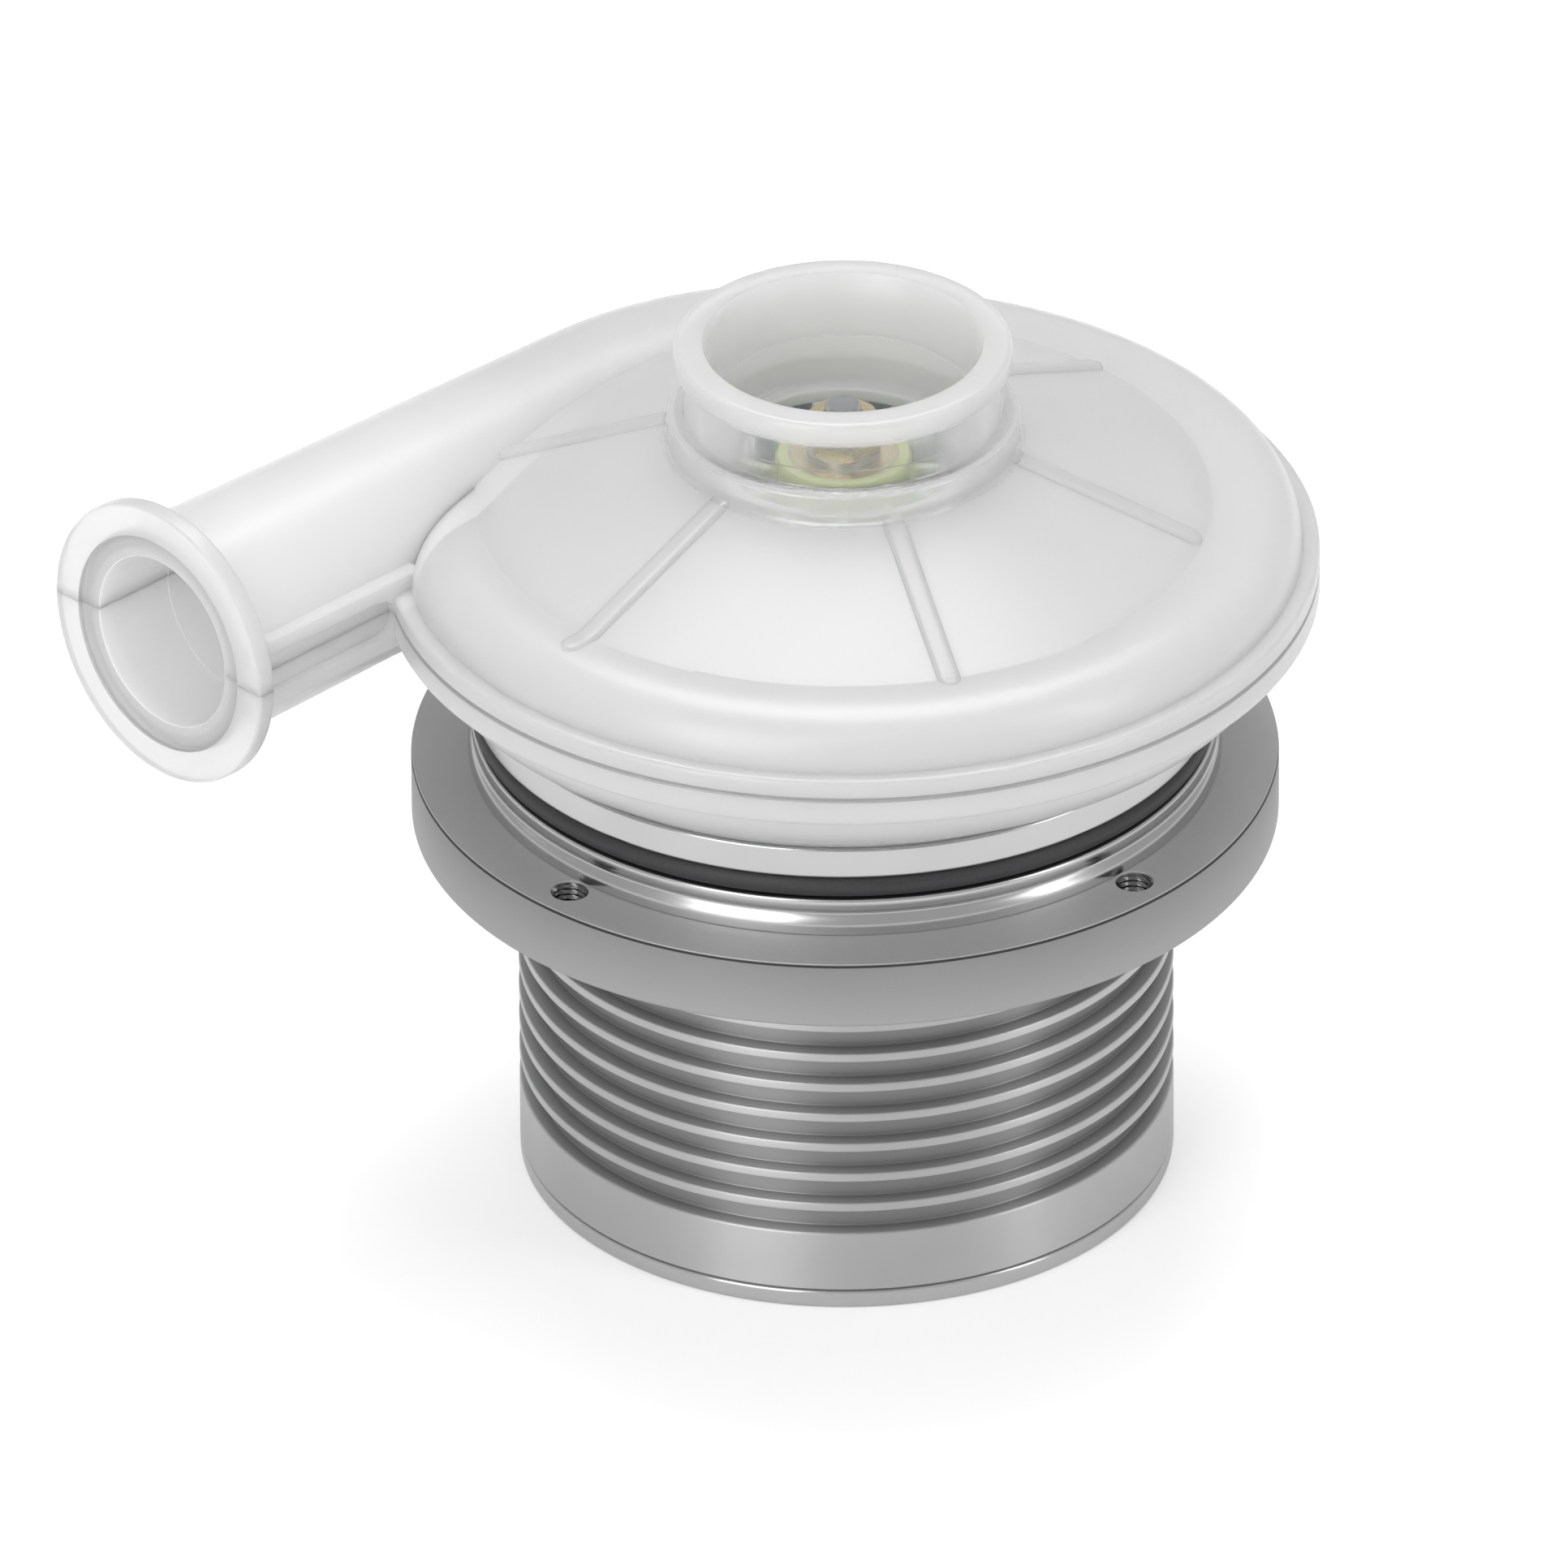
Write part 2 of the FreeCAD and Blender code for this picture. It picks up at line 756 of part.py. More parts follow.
def cable_hole(radius):
    """A radial hole through the foot of the barrel for the motor's leads."""
    hole = radial_cylinder(radius, skirt_bore - overshoot, barrel_radius + overshoot, cable_height)
    return turned_about(hole, cable_angle)


def cable_grommet():
    """Rubber bush that lines the cable hole, with a flange on each side of the wall."""
    reach = barrel_radius + grommet_flange
    start = barrel_bore - grommet_flange
    neck = radial_cylinder(grommet_radius - fit_gap, start, reach, cable_height)
    plug = radial_cylinder(grommet_flange_radius, start, reach, cable_height)
    wall = ring(barrel_bore, barrel_radius, 0, flange_bottom)
    bore = radial_cylinder(grommet_bore, start - overshoot, reach + overshoot, cable_height)
    body = plug.cut(wall).fuse(neck).removeSplitter().cut(bore)
    return turned_about(body, cable_angle)


def base_cap():
    """Bottom cap: a plate with the rear bearing's boss and a skirt that clamps the stator."""
    plate = turned([
        (0, 0),
        (barrel_radius, 0),
        (barrel_radius, cap_thickness - edge_break),
        (barrel_radius - edge_break, cap_thickness),
        (0, cap_thickness),
    ])
    lower_rim = [e for e in plate.Edges if e.BoundBox.ZMax < fit_gap and e.Closed]
    plate = plate.makeFillet(cap_rim_round, lower_rim)
    boss_top = rear_bearing_top + bearing_boss_margin
    boss = cylinder(boss_radius, 0, boss_top)
    seat = cylinder(bearing_radius + fit_gap, cap_thickness, boss_top + overshoot)
    skirt = ring(skirt_bore, skirt_radius, cap_thickness - edge_break, core_bottom)
    step = ring(skirt_bore - overshoot, ledge_bore, board_bottom, core_bottom + overshoot)
    cap = plate.fuse([boss, skirt]).removeSplitter().cut([seat, step])
    cap = cap.cut(cable_hole(grommet_flange_radius + screw_head_gap))
    return cap.cut(around(base_cap_screw_hole(), screw_count))


# Stator and sensors

def stator_plan(outer, inner, width, bottom, top):
    """Yoke ring with teeth and pole shoes, as tall as from bottom to top."""
    yoke = ring(yoke_inner_radius, outer, bottom, top)
    tooth = Part.makeBox(
        (yoke_inner_radius + outer) / 2 - inner - pole_shoe_depth / 2,
        width,
        top - bottom,
        Vector(inner + pole_shoe_depth / 2, -width / 2, bottom),
    )
    base = Vector(0, 0, bottom)
    shoe = Part.makeCylinder(inner + pole_shoe_depth, top - bottom, base, Z_AXIS, pole_shoe_angle)
    shoe.rotate(ORIGIN, Z_AXIS, -pole_shoe_angle / 2)
    shoe = shoe.cut(cylinder(inner, bottom - overshoot, top + overshoot))
    return yoke.fuse(around(tooth, pole_count) + around(shoe, pole_count)).removeSplitter()


def stator_core():
    return stator_plan(barrel_bore - fit_gap, sleeve_radius + air_gap, tooth_width, core_bottom, core_top)


def stator_insulators():
    """A plastic end piece on each face of the core, under the windings."""
    inner = sleeve_radius + air_gap + edge_break
    lower = stator_plan(insulator_radius, inner, tooth_width, core_bottom - insulator_thickness, core_bottom)
    upper = stator_plan(insulator_radius, inner, tooth_width, core_top, core_top + insulator_thickness)
    return [lower, upper]


def stator_coils():
    """One winding round each tooth, with rounded end turns."""
    length = coil_outer_radius - coil_inner_radius
    half_width = tooth_width / 2 + coil_gap
    bottom = core_bottom - insulator_thickness - coil_gap
    top = core_top + insulator_thickness + coil_gap
    outer = Part.makeBox(
        length,
        2 * (half_width + coil_thickness),
        top - bottom + 2 * coil_thickness,
        Vector(coil_inner_radius, -half_width - coil_thickness, bottom - coil_thickness),
    )
    radial_edges = [e for e in outer.Edges if e.BoundBox.XLength > length / 2]
    outer = outer.makeFillet(coil_thickness * coil_round_share, radial_edges)
    hollow = Part.makeBox(
        length + 2 * overshoot,
        2 * half_width,
        top - bottom,
        Vector(coil_inner_radius - overshoot, -half_width, bottom),
    )
    return around(outer.cut(hollow), pole_count)


def sensor_board():
    inner = boss_radius + board_inner_gap
    return ring(inner, ledge_bore - fit_gap, board_bottom, board_top)


def hall_sensors():
    sensor = Part.makeBox(
        sensor_width,
        sensor_length,
        sensor_height,
        Vector(sensor_circle_radius - sensor_width / 2, -sensor_length / 2, board_top),
    )
    return around(sensor, sensor_count, FULL_TURN / pole_count / 2)


# Bearings

def groove(middle):
    """The ring-shaped space that the balls of a bearing roll in."""
    pitch = (bearing_inner_radius + bearing_outer_bore) / 2
    return Part.makeTorus(pitch, ball_radius + ball_gap, Vector(0, 0, middle), Z_AXIS)


def bearing_outer(bottom):
    body = ring(bearing_outer_bore, bearing_radius, bottom, bottom + bearing_width)
    return body.cut(groove(bottom + bearing_width / 2))


def bearing_inner(bottom):
    body = ring(shaft_radius + fit_gap, bearing_inner_radius, bottom, bottom + bearing_width)
    return body.cut(groove(bottom + bearing_width / 2))


def bearing_balls(bottom):
    pitch = (bearing_inner_radius + bearing_outer_bore) / 2
    ball = Part.makeSphere(ball_radius, Vector(pitch, 0, bottom + bearing_width / 2))
    return around(ball, ball_count)


def bearing_cage(bottom):
    """A ring with one round pocket for each ball."""
    pitch = (bearing_inner_radius + bearing_outer_bore) / 2
    middle = bottom + bearing_width / 2
    inner = pitch - cage_thickness / 2
    outer = inner + cage_thickness
    body = ring(inner, outer, middle - cage_height / 2, middle + cage_height / 2)
    pocket = radial_cylinder(ball_radius + ball_gap, inner - cage_thickness, outer + cage_thickness, middle)
    return body.cut(around(pocket, ball_count))


def bearing_shields(bottom):
    """A thin steel ring pressed into each side of the outer ring."""
    inner = bearing_inner_radius + shield_gap
    low = bottom + shield_recess
    high = bottom + bearing_width - shield_recess
    return [
        ring(inner, bearing_outer_bore, low, low + shield_thickness),
        ring(inner, bearing_outer_bore, high - shield_thickness, high),
    ]


def preload_spring():
    """Conical spring washer that pushes the rear bearing up."""
    outer = bearing_radius - spring_side_gap
    inner = outer - spring_width
    return turned([
        (inner, cap_thickness),
        (inner + spring_thickness, cap_thickness),
        (outer, rear_bearing_bottom - spring_thickness),
        (outer, rear_bearing_bottom),
        (outer - spring_thickness, rear_bearing_bottom),
        (inner, cap_thickness + spring_thickness),
    ])


# Rotor

def shaft():
    """Stepped shaft: two bearing seats, a thicker middle and a threaded end."""
    return turned([
        (0, shaft_bottom),
        (shaft_radius - edge_break, shaft_bottom),
        (shaft_radius, shaft_bottom + edge_break),
        (shaft_radius, rear_bearing_top),
        (shaft_shoulder_radius, rear_bearing_top),
        (shaft_shoulder_radius, front_bearing_bottom),
        (shaft_radius, front_bearing_bottom),
        (shaft_radius, thread_start),
        (thread_radius, thread_start),
        (thread_radius, shaft_top - edge_break),
        (thread_radius - edge_break, shaft_top),
        (0, shaft_top),
    ])


def rotor_core():
    return ring(shaft_shoulder_radius + fit_gap, rotor_core_radius, magnet_bottom(), magnet_top())


def magnet_bottom():
    return core_bottom - magnet_overhang


def magnet_top():
    return core_top + magnet_overhang


def rotor_magnet():
    return ring(rotor_core_radius + fit_gap, magnet_radius, magnet_bottom(), magnet_top())


def rotor_sleeve():
    return ring(magnet_radius + fit_gap, sleeve_radius, magnet_bottom(), magnet_top())


def balance_rings():
    """A brass ring at each end of the magnet."""
    inner = shaft_shoulder_radius + fit_gap
    return [
        ring(inner, magnet_radius, magnet_bottom() - balance_ring_height, magnet_bottom()),
        ring(inner, magnet_radius, magnet_top(), magnet_top() + balance_ring_height),
    ]


def shaft_spacer():
    return ring(shaft_radius + fit_gap, spacer_radius, front_bearing_top, impeller_bottom)


def impeller_bush():
    """Brass sleeve moulded into the hub, closed at the top except for the threaded end of the shaft."""
    body = cylinder(bush_radius, impeller_bottom, hub_top)
    body = body.cut(cylinder(shaft_radius + fit_gap, impeller_bottom - overshoot, thread_start))
    return body.cut(cylinder(thread_radius + fit_gap, thread_start - overshoot, hub_top + overshoot))


def impeller_washer():
    return ring(thread_radius + fit_gap, washer_radius, hub_top, nut_bottom)


def impeller_nut():
    """Hexagon nut with chamfered corners."""
    flat = nut_across_flats / 2
    reach = flat / math.cos(math.radians(30))
    turned_limit = turned([
        (0, nut_bottom),
        (reach, nut_bottom),
        (reach, nut_top - (reach - flat)),
        (flat, nut_top),
        (0, nut_top),
    ])
    body = hexagon(flat, nut_bottom, nut_top).common(turned_limit)
    return body.cut(cylinder(thread_radius + fit_gap, nut_bottom - overshoot, nut_top + overshoot))


def hub_face():
    """Outline of the hub: a flat back plate that sweeps up in one arc to the top of the hub."""
    plate_top = impeller_bottom + impeller_plate
    inner = bush_radius + fit_gap
    top_radius = bush_radius + impeller_hub_wall
    arc_radius = impeller_radius - (impeller_radius - top_radius) * hub_curve_in
    arc_height = plate_top + (hub_top - plate_top) * hub_curve_up
    root = Vector(inner, 0, impeller_bottom)
    rim = Vector(impeller_radius, 0, impeller_bottom)
    start = Vector(impeller_radius, 0, plate_top)
    end = Vector(top_radius, 0, hub_top)
    top = Vector(inner, 0, hub_top)
    edges = [
        Part.LineSegment(root, rim).toShape(),
        Part.LineSegment(rim, start).toShape(),
        Part.Arc(start, Vector(arc_radius, 0, arc_height), end).toShape(),
        Part.LineSegment(end, top).toShape(),
        Part.LineSegment(top, root).toShape(),
    ]
    return Part.Face(Part.Wire(edges))


def blade_strip():
    """Plan of one blade: a strip whose middle line falls back evenly as the radius grows."""
    steps = 8
    left = []
    right = []
    for i in range(steps + 1):
        share = i / steps
        radius = mixed(blade_root_radius, impeller_radius + overshoot, share)
        turn = -math.radians(blade_sweep) * share
        half_turn = blade_thickness / 2 / radius
        left.append(Vector(radius * math.cos(turn + half_turn), radius * math.sin(turn + half_turn), 0))
        right.append(Vector(radius * math.cos(turn - half_turn), radius * math.sin(turn - half_turn), 0))
    first = Part.BSplineCurve()
    first.interpolate(Points=left)
    second = Part.BSplineCurve()
    second.interpolate(Points=right)
    edges = [
        first.toShape(),
        Part.LineSegment(left[-1], right[-1]).toShape(),
        second.toShape(),
        Part.LineSegment(right[0], left[0]).toShape(),
    ]
    strip = Part.Face(Part.Wire(Part.__sortEdges__(edges))).extrude(Vector(0, 0, hub_top))
    return strip


def impeller():
    """Moulded wheel: hub and back plate with backward-swept blades that stay clear of the cone."""
    hub = hub_face().revolve(ORIGIN, Z_AXIS, FULL_TURN)
    blade_top = eye_bottom - running_gap
    region = turned([
        (bush_radius + impeller_hub_wall / 2, impeller_bottom + impeller_plate / 2),
        (impeller_radius, impeller_bottom + impeller_plate / 2),
        (impeller_radius, cone_height(impeller_radius) - cone_wall - running_gap),
        (collar_radius, blade_top),
        (bush_radius + impeller_hub_wall / 2, blade_top),
    ])
    blades = region.common(around(blade_strip(), blade_count))
    return hub.fuse(blades).removeSplitter()


def save(name, solids):
    """Writes one sub-part, made of one solid or of a list of equal solids."""
    shape = Part.makeCompound(solids) if isinstance(solids, list) else solids
    shape.exportStep("parts/" + name + ".step")


def main():
    os.makedirs("parts", exist_ok=True)
    upper, lower = volute_halves()
    save("volute_top", upper)
    save("volute_bottom", volute_bottom_with_holes(lower))
    save("volute_screws", volute_screws())
    save("neck_plate", neck_plate())
    save("neck_oring", neck_oring())
    save("mounting_flange", mounting_flange())
    save("barrel_screws", barrel_screws())
    save("finned_housing", finned_housing())
    save("base_cap", base_cap())
    save("base_cap_screws", base_cap_screws())
    save("cable_grommet", cable_grommet())
    save("stator_core", stator_core())
    save("stator_insulators", stator_insulators())
    save("stator_coils", stator_coils())
    save("sensor_board", sensor_board())
    save("hall_sensors", hall_sensors())
    save("preload_spring", preload_spring())
    for place, bottom in (("front", front_bearing_bottom), ("rear", rear_bearing_bottom)):
        save(place + "_bearing_outer", bearing_outer(bottom))
        save(place + "_bearing_shields", bearing_shields(bottom))
        save(place + "_bearing_inner", bearing_inner(bottom))
        save(place + "_bearing_balls", bearing_balls(bottom))
        save(place + "_bearing_cage", bearing_cage(bottom))
    save("shaft", shaft())
    save("rotor_core", rotor_core())
    save("rotor_magnet", rotor_magnet())
    save("rotor_sleeve", rotor_sleeve())
    save("balance_rings", balance_rings())
    save("shaft_spacer", shaft_spacer())
    save("impeller", impeller())
    save("impeller_bush", impeller_bush())
    save("impeller_washer", impeller_washer())
    save("impeller_nut", impeller_nut())


main()
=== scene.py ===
# %% [markdown]
# # An air blower, dressed around its imported frame
# The object is a small radial blower. A moulded, see-through volute sits on a turned metal neck, under
# them come a flange ring, a finned motor barrel and a thin cap. The CAD model gives every piece its place
# and its size. This script gives the pieces that show a finer shape, and every piece its finish.
#
# First the imported model is loaded. Its nodes stay where they are. The dressed object may not grow out of
# it.

# %% Load the imported frame
import json

import bmesh
import bpy
import numpy as np
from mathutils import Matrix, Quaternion, Vector


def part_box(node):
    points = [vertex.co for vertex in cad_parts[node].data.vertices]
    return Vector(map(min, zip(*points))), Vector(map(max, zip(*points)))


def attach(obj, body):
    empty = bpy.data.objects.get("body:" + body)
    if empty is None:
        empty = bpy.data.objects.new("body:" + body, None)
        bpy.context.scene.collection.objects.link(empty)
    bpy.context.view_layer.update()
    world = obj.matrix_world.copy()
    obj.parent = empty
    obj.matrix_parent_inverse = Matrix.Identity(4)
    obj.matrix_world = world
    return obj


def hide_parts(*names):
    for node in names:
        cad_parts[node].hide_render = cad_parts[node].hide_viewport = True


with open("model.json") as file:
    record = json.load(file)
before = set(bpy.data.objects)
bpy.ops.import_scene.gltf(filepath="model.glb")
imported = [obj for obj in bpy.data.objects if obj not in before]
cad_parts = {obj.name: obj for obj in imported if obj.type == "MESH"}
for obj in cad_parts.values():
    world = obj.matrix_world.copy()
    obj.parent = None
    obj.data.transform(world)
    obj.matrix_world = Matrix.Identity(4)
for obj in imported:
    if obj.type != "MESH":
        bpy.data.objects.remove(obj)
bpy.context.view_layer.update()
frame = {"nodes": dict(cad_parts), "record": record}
nodes = frame["nodes"]
MM = 0.001
print(len(nodes), "nodes in the frame")

# %% [markdown]
# The sizes are read from the frame where it has them: a node's lowest and highest corner, and the mounts
# of the record. Only the small forms that a box can't tell, such as a fin's thickness, are given here, with
# the values that the part's source has. All shapes are worked out in millimetres, because that is how the
# object would be drawn, and turned into metres when a mesh is made.

# %% Sizes from the frame


def corners_of(node):
    """Lowest and highest corner of a node, in millimetres."""
    low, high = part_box(node)
    return np.array(low) / MM, np.array(high) / MM


mounts = {m["name"]: m for m in frame["record"]["mounts"]}
neck_low, neck_high = corners_of("neck_plate")
flange_low, flange_high = corners_of("mounting_flange")
barrel_low, barrel_high = corners_of("finned_housing")
cap_high = corners_of("base_cap")[1]
upper_low, upper_high = corners_of("volute_top")
lower_high = corners_of("volute_bottom")[1]
wheel_low, wheel_high = corners_of("impeller")
nut_low, nut_high = corners_of("impeller_nut")
seal_low, seal_high = corners_of("neck_oring")

parting = lower_high[2]
inlet_top = upper_high[2]
neck_top = neck_high[2]
flange_top = flange_high[2]
flange_bottom = flange_low[2]
flange_radius = flange_high[0]
barrel_radius = barrel_high[0]
outlet_face_x = upper_low[0]
inlet_bore = mounts["inlet_bore"]["dims"]["r_mm"]
socket_radius = mounts["outlet_bore"]["dims"]["r_mm"]
socket_depth = mounts["outlet_bore"]["dims"]["length_mm"]
disc_radius = mounts["outlet_rim"]["dims"]["r_mm"]
disc_thickness = mounts["outlet_rim"]["dims"]["length_mm"]
bolt_circle = mounts["flange_bolts"]["dims"]["pcd_mm"] / 2
bolt_hole_radius = mounts["flange_bolts"]["dims"]["hole_r_mm"]
tube_axis_y = mounts["outlet_bore"]["pos_m"][1] / MM
print("parting plane at", round(parting, 2), "mm, outlet face at x", round(outlet_face_x, 2), "mm")

# %% [markdown]
# ## How the shapes are made
# Every new piece is a grid of points: one direction runs along the piece, the other goes once round its
# outline. A turned part is such a grid, and so is a tube, a blade or a scroll. The quads between the points
# follow from their numbering. Where an end has to be closed, one more row is added whose points all lie in
# its middle, and merging the doubles turns it into a fan of triangles.

# %% Grids of points


def grid_faces(rows, columns, rows_close):
    """Quads between neighbouring points of a grid numbered row by row. Columns close on themselves."""
    row = np.arange(rows if rows_close else rows - 1)
    column = np.arange(columns)
    i, j = np.meshgrid(row, column, indexing="ij")
    below = ((i + 1) % rows) * columns
    beside = (j + 1) % columns
    quads = np.stack([i * columns + j, below + j, below + beside, i * columns + beside], axis=-1)
    return quads.reshape(-1, 4)


merge_distance = 0.002


def sealed(piece):
    """Merges the points that coincide and turns every face outwards."""
    work = bmesh.new()
    work.from_mesh(piece.data)
    bmesh.ops.remove_doubles(work, verts=work.verts, dist=merge_distance * MM)
    bmesh.ops.recalc_face_normals(work, faces=work.faces)
    work.to_mesh(piece.data)
    work.free()
    return piece


def solid(name, grid, rows_close=False):
    """A closed piece from a grid of points in millimetres, or from several grids stacked as copies."""
    rows, columns = grid.shape[-3:-1]
    points = grid.reshape(-1, 3)
    one = grid_faces(rows, columns, rows_close)
    first = np.arange(len(points) // (rows * columns)) * rows * columns
    faces = (one[None] + first[:, None, None]).reshape(-1, 4)
    mesh = bpy.data.meshes.new(name)
    mesh.from_pydata((points * MM).tolist(), [], faces.tolist())
    piece = bpy.data.objects.new(name, mesh)
    bpy.context.collection.objects.link(piece)
    return sealed(piece)


def capped(grid):
    """The grid with a row at each end whose points all lie in the middle of that end."""
    first = np.broadcast_to(grid[..., :1, :, :].mean(axis=-2, keepdims=True), grid[..., :1, :, :].shape)
    last = np.broadcast_to(grid[..., -1:, :, :].mean(axis=-2, keepdims=True), grid[..., -1:, :, :].shape)
    return np.concatenate([first, grid, last], axis=-3)


# %% [markdown]
# Real edges are never perfectly sharp. An outline is given by its corners, and each corner is then replaced
# by a short curve, so that it catches a line of light as a deburred or moulded edge does.

# %% Outlines with rounded corners
corner_steps = 4
corner_share = 0.45


def rounded(corners, radius, steps=corner_steps):
    """Closed outline whose corners are curves.

    With t from 0 to 1, a curve is (1-t)^2 of the point one radius before the corner, 2t(1-t) of the corner
    itself and t^2 of the point one radius after it. The radius is at most the corner's share of either edge.
    """
    corners = np.array(corners, float)
    radius = np.broadcast_to(np.array(radius, float), (len(corners),))[:, None]
    back = np.roll(corners, 1, axis=0) - corners
    ahead = np.roll(corners, -1, axis=0) - corners
    back_length = np.linalg.norm(back, axis=1, keepdims=True)
    ahead_length = np.linalg.norm(ahead, axis=1, keepdims=True)
    start = corners + back / back_length * np.minimum(radius, corner_share * back_length)
    end = corners + ahead / ahead_length * np.minimum(radius, corner_share * ahead_length)
    t = np.linspace(0, 1, steps + 1)[None, :, None]
    curve = (1 - t) ** 2 * start[:, None] + 2 * t * (1 - t) * corners[:, None] + t**2 * end[:, None]
    return curve.reshape(-1, corners.shape[1])


turn_steps = 192
fine_turn_steps = 256


def turned_grid(outline, steps=turn_steps):
    """Grid of a turned shape: x is radius times cosine, y is radius times sine, z is the height."""
    radius, height = np.array(outline, float).T
    turn = np.linspace(0, 2 * np.pi, steps, endpoint=False)
    level = np.broadcast_to(height[:, None], (len(height), steps))
    return np.stack([np.outer(radius, np.cos(turn)), np.outer(radius, np.sin(turn)), level], axis=-1)


def turned(name, outline, steps=turn_steps):
    """A turned piece. An outline that begins and ends on the axis is left open there."""
    on_axis = outline[0][0] == 0 and outline[-1][0] == 0
    return solid(name, turned_grid(outline, steps), rows_close=not on_axis)


def facing_x(grid):
    """The same shape with its axis along X instead of Z."""
    return np.roll(grid, 1, axis=-1)


def copied_around(grid, angles):
    """Copies of a grid turned about the Z axis by the given angles in degrees.

    A turn by a takes x to x cos(a) - y sin(a) and y to x sin(a) + y cos(a).
    """
    turn = np.radians(np.atleast_1d(angles)).reshape(-1, *([1] * (grid.ndim - 1)))
    x, y, z = grid[..., 0], grid[..., 1], grid[..., 2]
    across = x * np.cos(turn) - y * np.sin(turn)
    along = x * np.sin(turn) + y * np.cos(turn)
    return np.stack([across, along, np.broadcast_to(z, across.shape)], axis=-1)


def evenly(count, start=0.0):
    """Angles in degrees that share out a full turn: the start plus 360 times the number over the count."""
    return start + 360.0 * np.arange(count) / count


# %% [markdown]
# Pieces are joined and cut with Boolean modifiers, as a machinist drills a blank: the modifiers are added,
# the result is read once as a plain mesh, and the cutting bodies are thrown away. A cutting body reaches a
# millimetre past the face that it cuts, so that no thin skin stays behind.

# %% Joining and cutting
overcut = 1.0


def combined(base, tools, operation):
    """The base after the tools were joined to it (UNION), cut from it (DIFFERENCE) or limited it."""
    for tool in tools:
        step = base.modifiers.new(operation, "BOOLEAN")
        step.operation = operation
        step.solver = "MANIFOLD"
        step.object = tool
    view = bpy.context.evaluated_depsgraph_get()
    mesh = bpy.data.meshes.new_from_object(base.evaluated_get(view))
    base.modifiers.clear()
    base.data = mesh
    for tool in tools:
        bpy.data.objects.remove(tool)
    return base


def block(name, low, high):
    """A cutting block between two corners."""
    x0, y0, z0 = low
    x1, y1, z1 = high
    rim = np.array([[x0, y0], [x1, y0], [x1, y1], [x0, y1]], float)
    levels = np.stack([np.c_[rim, np.full(4, z0)], np.c_[rim, np.full(4, z1)]])
    return solid(name, capped(levels))


def drill(name, outline, centre_radius, angles, steps=48):
    """Turned cutting bodies whose axes stand on a circle."""
    tool = turned_grid(outline, steps) + np.array([centre_radius, 0, 0])
    return solid(name, copied_around(tool, angles))


# %% [markdown]
# ## Nodes for the finishes
# One small function adds a node with its settings and its links. Colours are written as they look on a
# screen, in hex, and turned into the linear values that the renderer works with. Every pattern reads Object
# coordinates, which are metres on the real object, so its scale comes straight from a real size. Most
# finishes are built alike: one pattern varies the colour, and another, finer one the gloss and the relief.

# %% Node helpers
def linear(code):
    """Hex sRGB to linear: c/12.92 up to 0.04045, and ((c+0.055)/1.055)^2.4 above it."""
    channel = np.array([int(code[i : i + 2], 16) for i in (1, 3, 5)]) / 255
    curve = ((channel + 0.055) / 1.055) ** 2.4
    return (*np.where(channel <= 0.04045, channel / 12.92, curve), 1.0)


def add(owner, kind, inputs=None, out=0, **settings):
    """Adds one node, with values or other nodes' sockets as its inputs, and returns the output asked for."""
    made = owner.node_tree.nodes.new(kind)
    for key, value in settings.items():
        setattr(made, key, value)
    for key, value in (inputs or {}).items():
        if isinstance(value, bpy.types.NodeSocket):
            owner.node_tree.links.new(value, made.inputs[key])
        else:
            made.inputs[key].default_value = value
    return made.outputs[out] if made.outputs else None


def new_finish(name):
    """An empty material, and the Object coordinates that its patterns read."""
    finish = bpy.data.materials.new(name)
    finish.use_nodes = True
    finish.node_tree.nodes.clear()
    return finish, add(finish, "ShaderNodeTexCoord", out="Object")


def per_metre(size):
    """The scale of a pattern whose spots measure about the given number of millimetres."""
    return 1 / (size * MM)


def radius_and_height(finish, where):
    """Distance from the object's axis, and height above the floor."""
    flat = add(finish, "ShaderNodeVectorMath", {0: where, 1: (1, 1, 0)}, operation="MULTIPLY")
    radius = add(finish, "ShaderNodeVectorMath", {0: flat}, "Value", operation="LENGTH")
    return radius, add(finish, "ShaderNodeSeparateXYZ", {0: where}, 2)


def lathe_lines(finish, where, pitch):
    """Noise that changes only with the radius and the height, as a cutting tool's marks do."""
    radius, height = radius_and_height(finish, where)
    along = add(finish, "ShaderNodeCombineXYZ", {0: radius, 1: height})
    return add(finish, "ShaderNodeTexNoise", {"Vector": along, "Scale": per_metre(pitch), "Detail": 3.0})


def surfaced(finish, tone, colours, texture, roughness, depth, **sockets):
    """Ends a finish with its shader.

    The colour goes from the first to the second as the tone goes from 0 to 1. The texture spreads the
    roughness between its two values in the same way, and is also a relief of the given depth in millimetres.
    """
    first, second = (linear(c) if isinstance(c, str) else c for c in colours)
    smooth, rough = roughness
    inputs = {key.replace("_", " "): value for key, value in sockets.items()}
    inputs["Base Color"] = add(finish, "ShaderNodeMix", {0: tone, 6: first, 7: second}, 2, data_type="RGBA")
    inputs["Roughness"] = add(finish, "ShaderNodeMapRange", {0: texture, 3: smooth, 4: rough})
    inputs["Normal"] = add(finish, "ShaderNodeBump", {"Height": texture, "Distance": depth * MM})
    add(finish, "ShaderNodeOutputMaterial", {"Surface": add(finish, "ShaderNodeBsdfPrincipled", inputs)})
    return finish


print("colour of a mid grey:", round(linear("#808080")[0], 3))

# %% [markdown]
# Most pieces get their finish and their ties to the frame in the same way, so one function does it.

# %% Finishing a piece
crease_angle = np.radians(32.0)
large_face_weight = 80


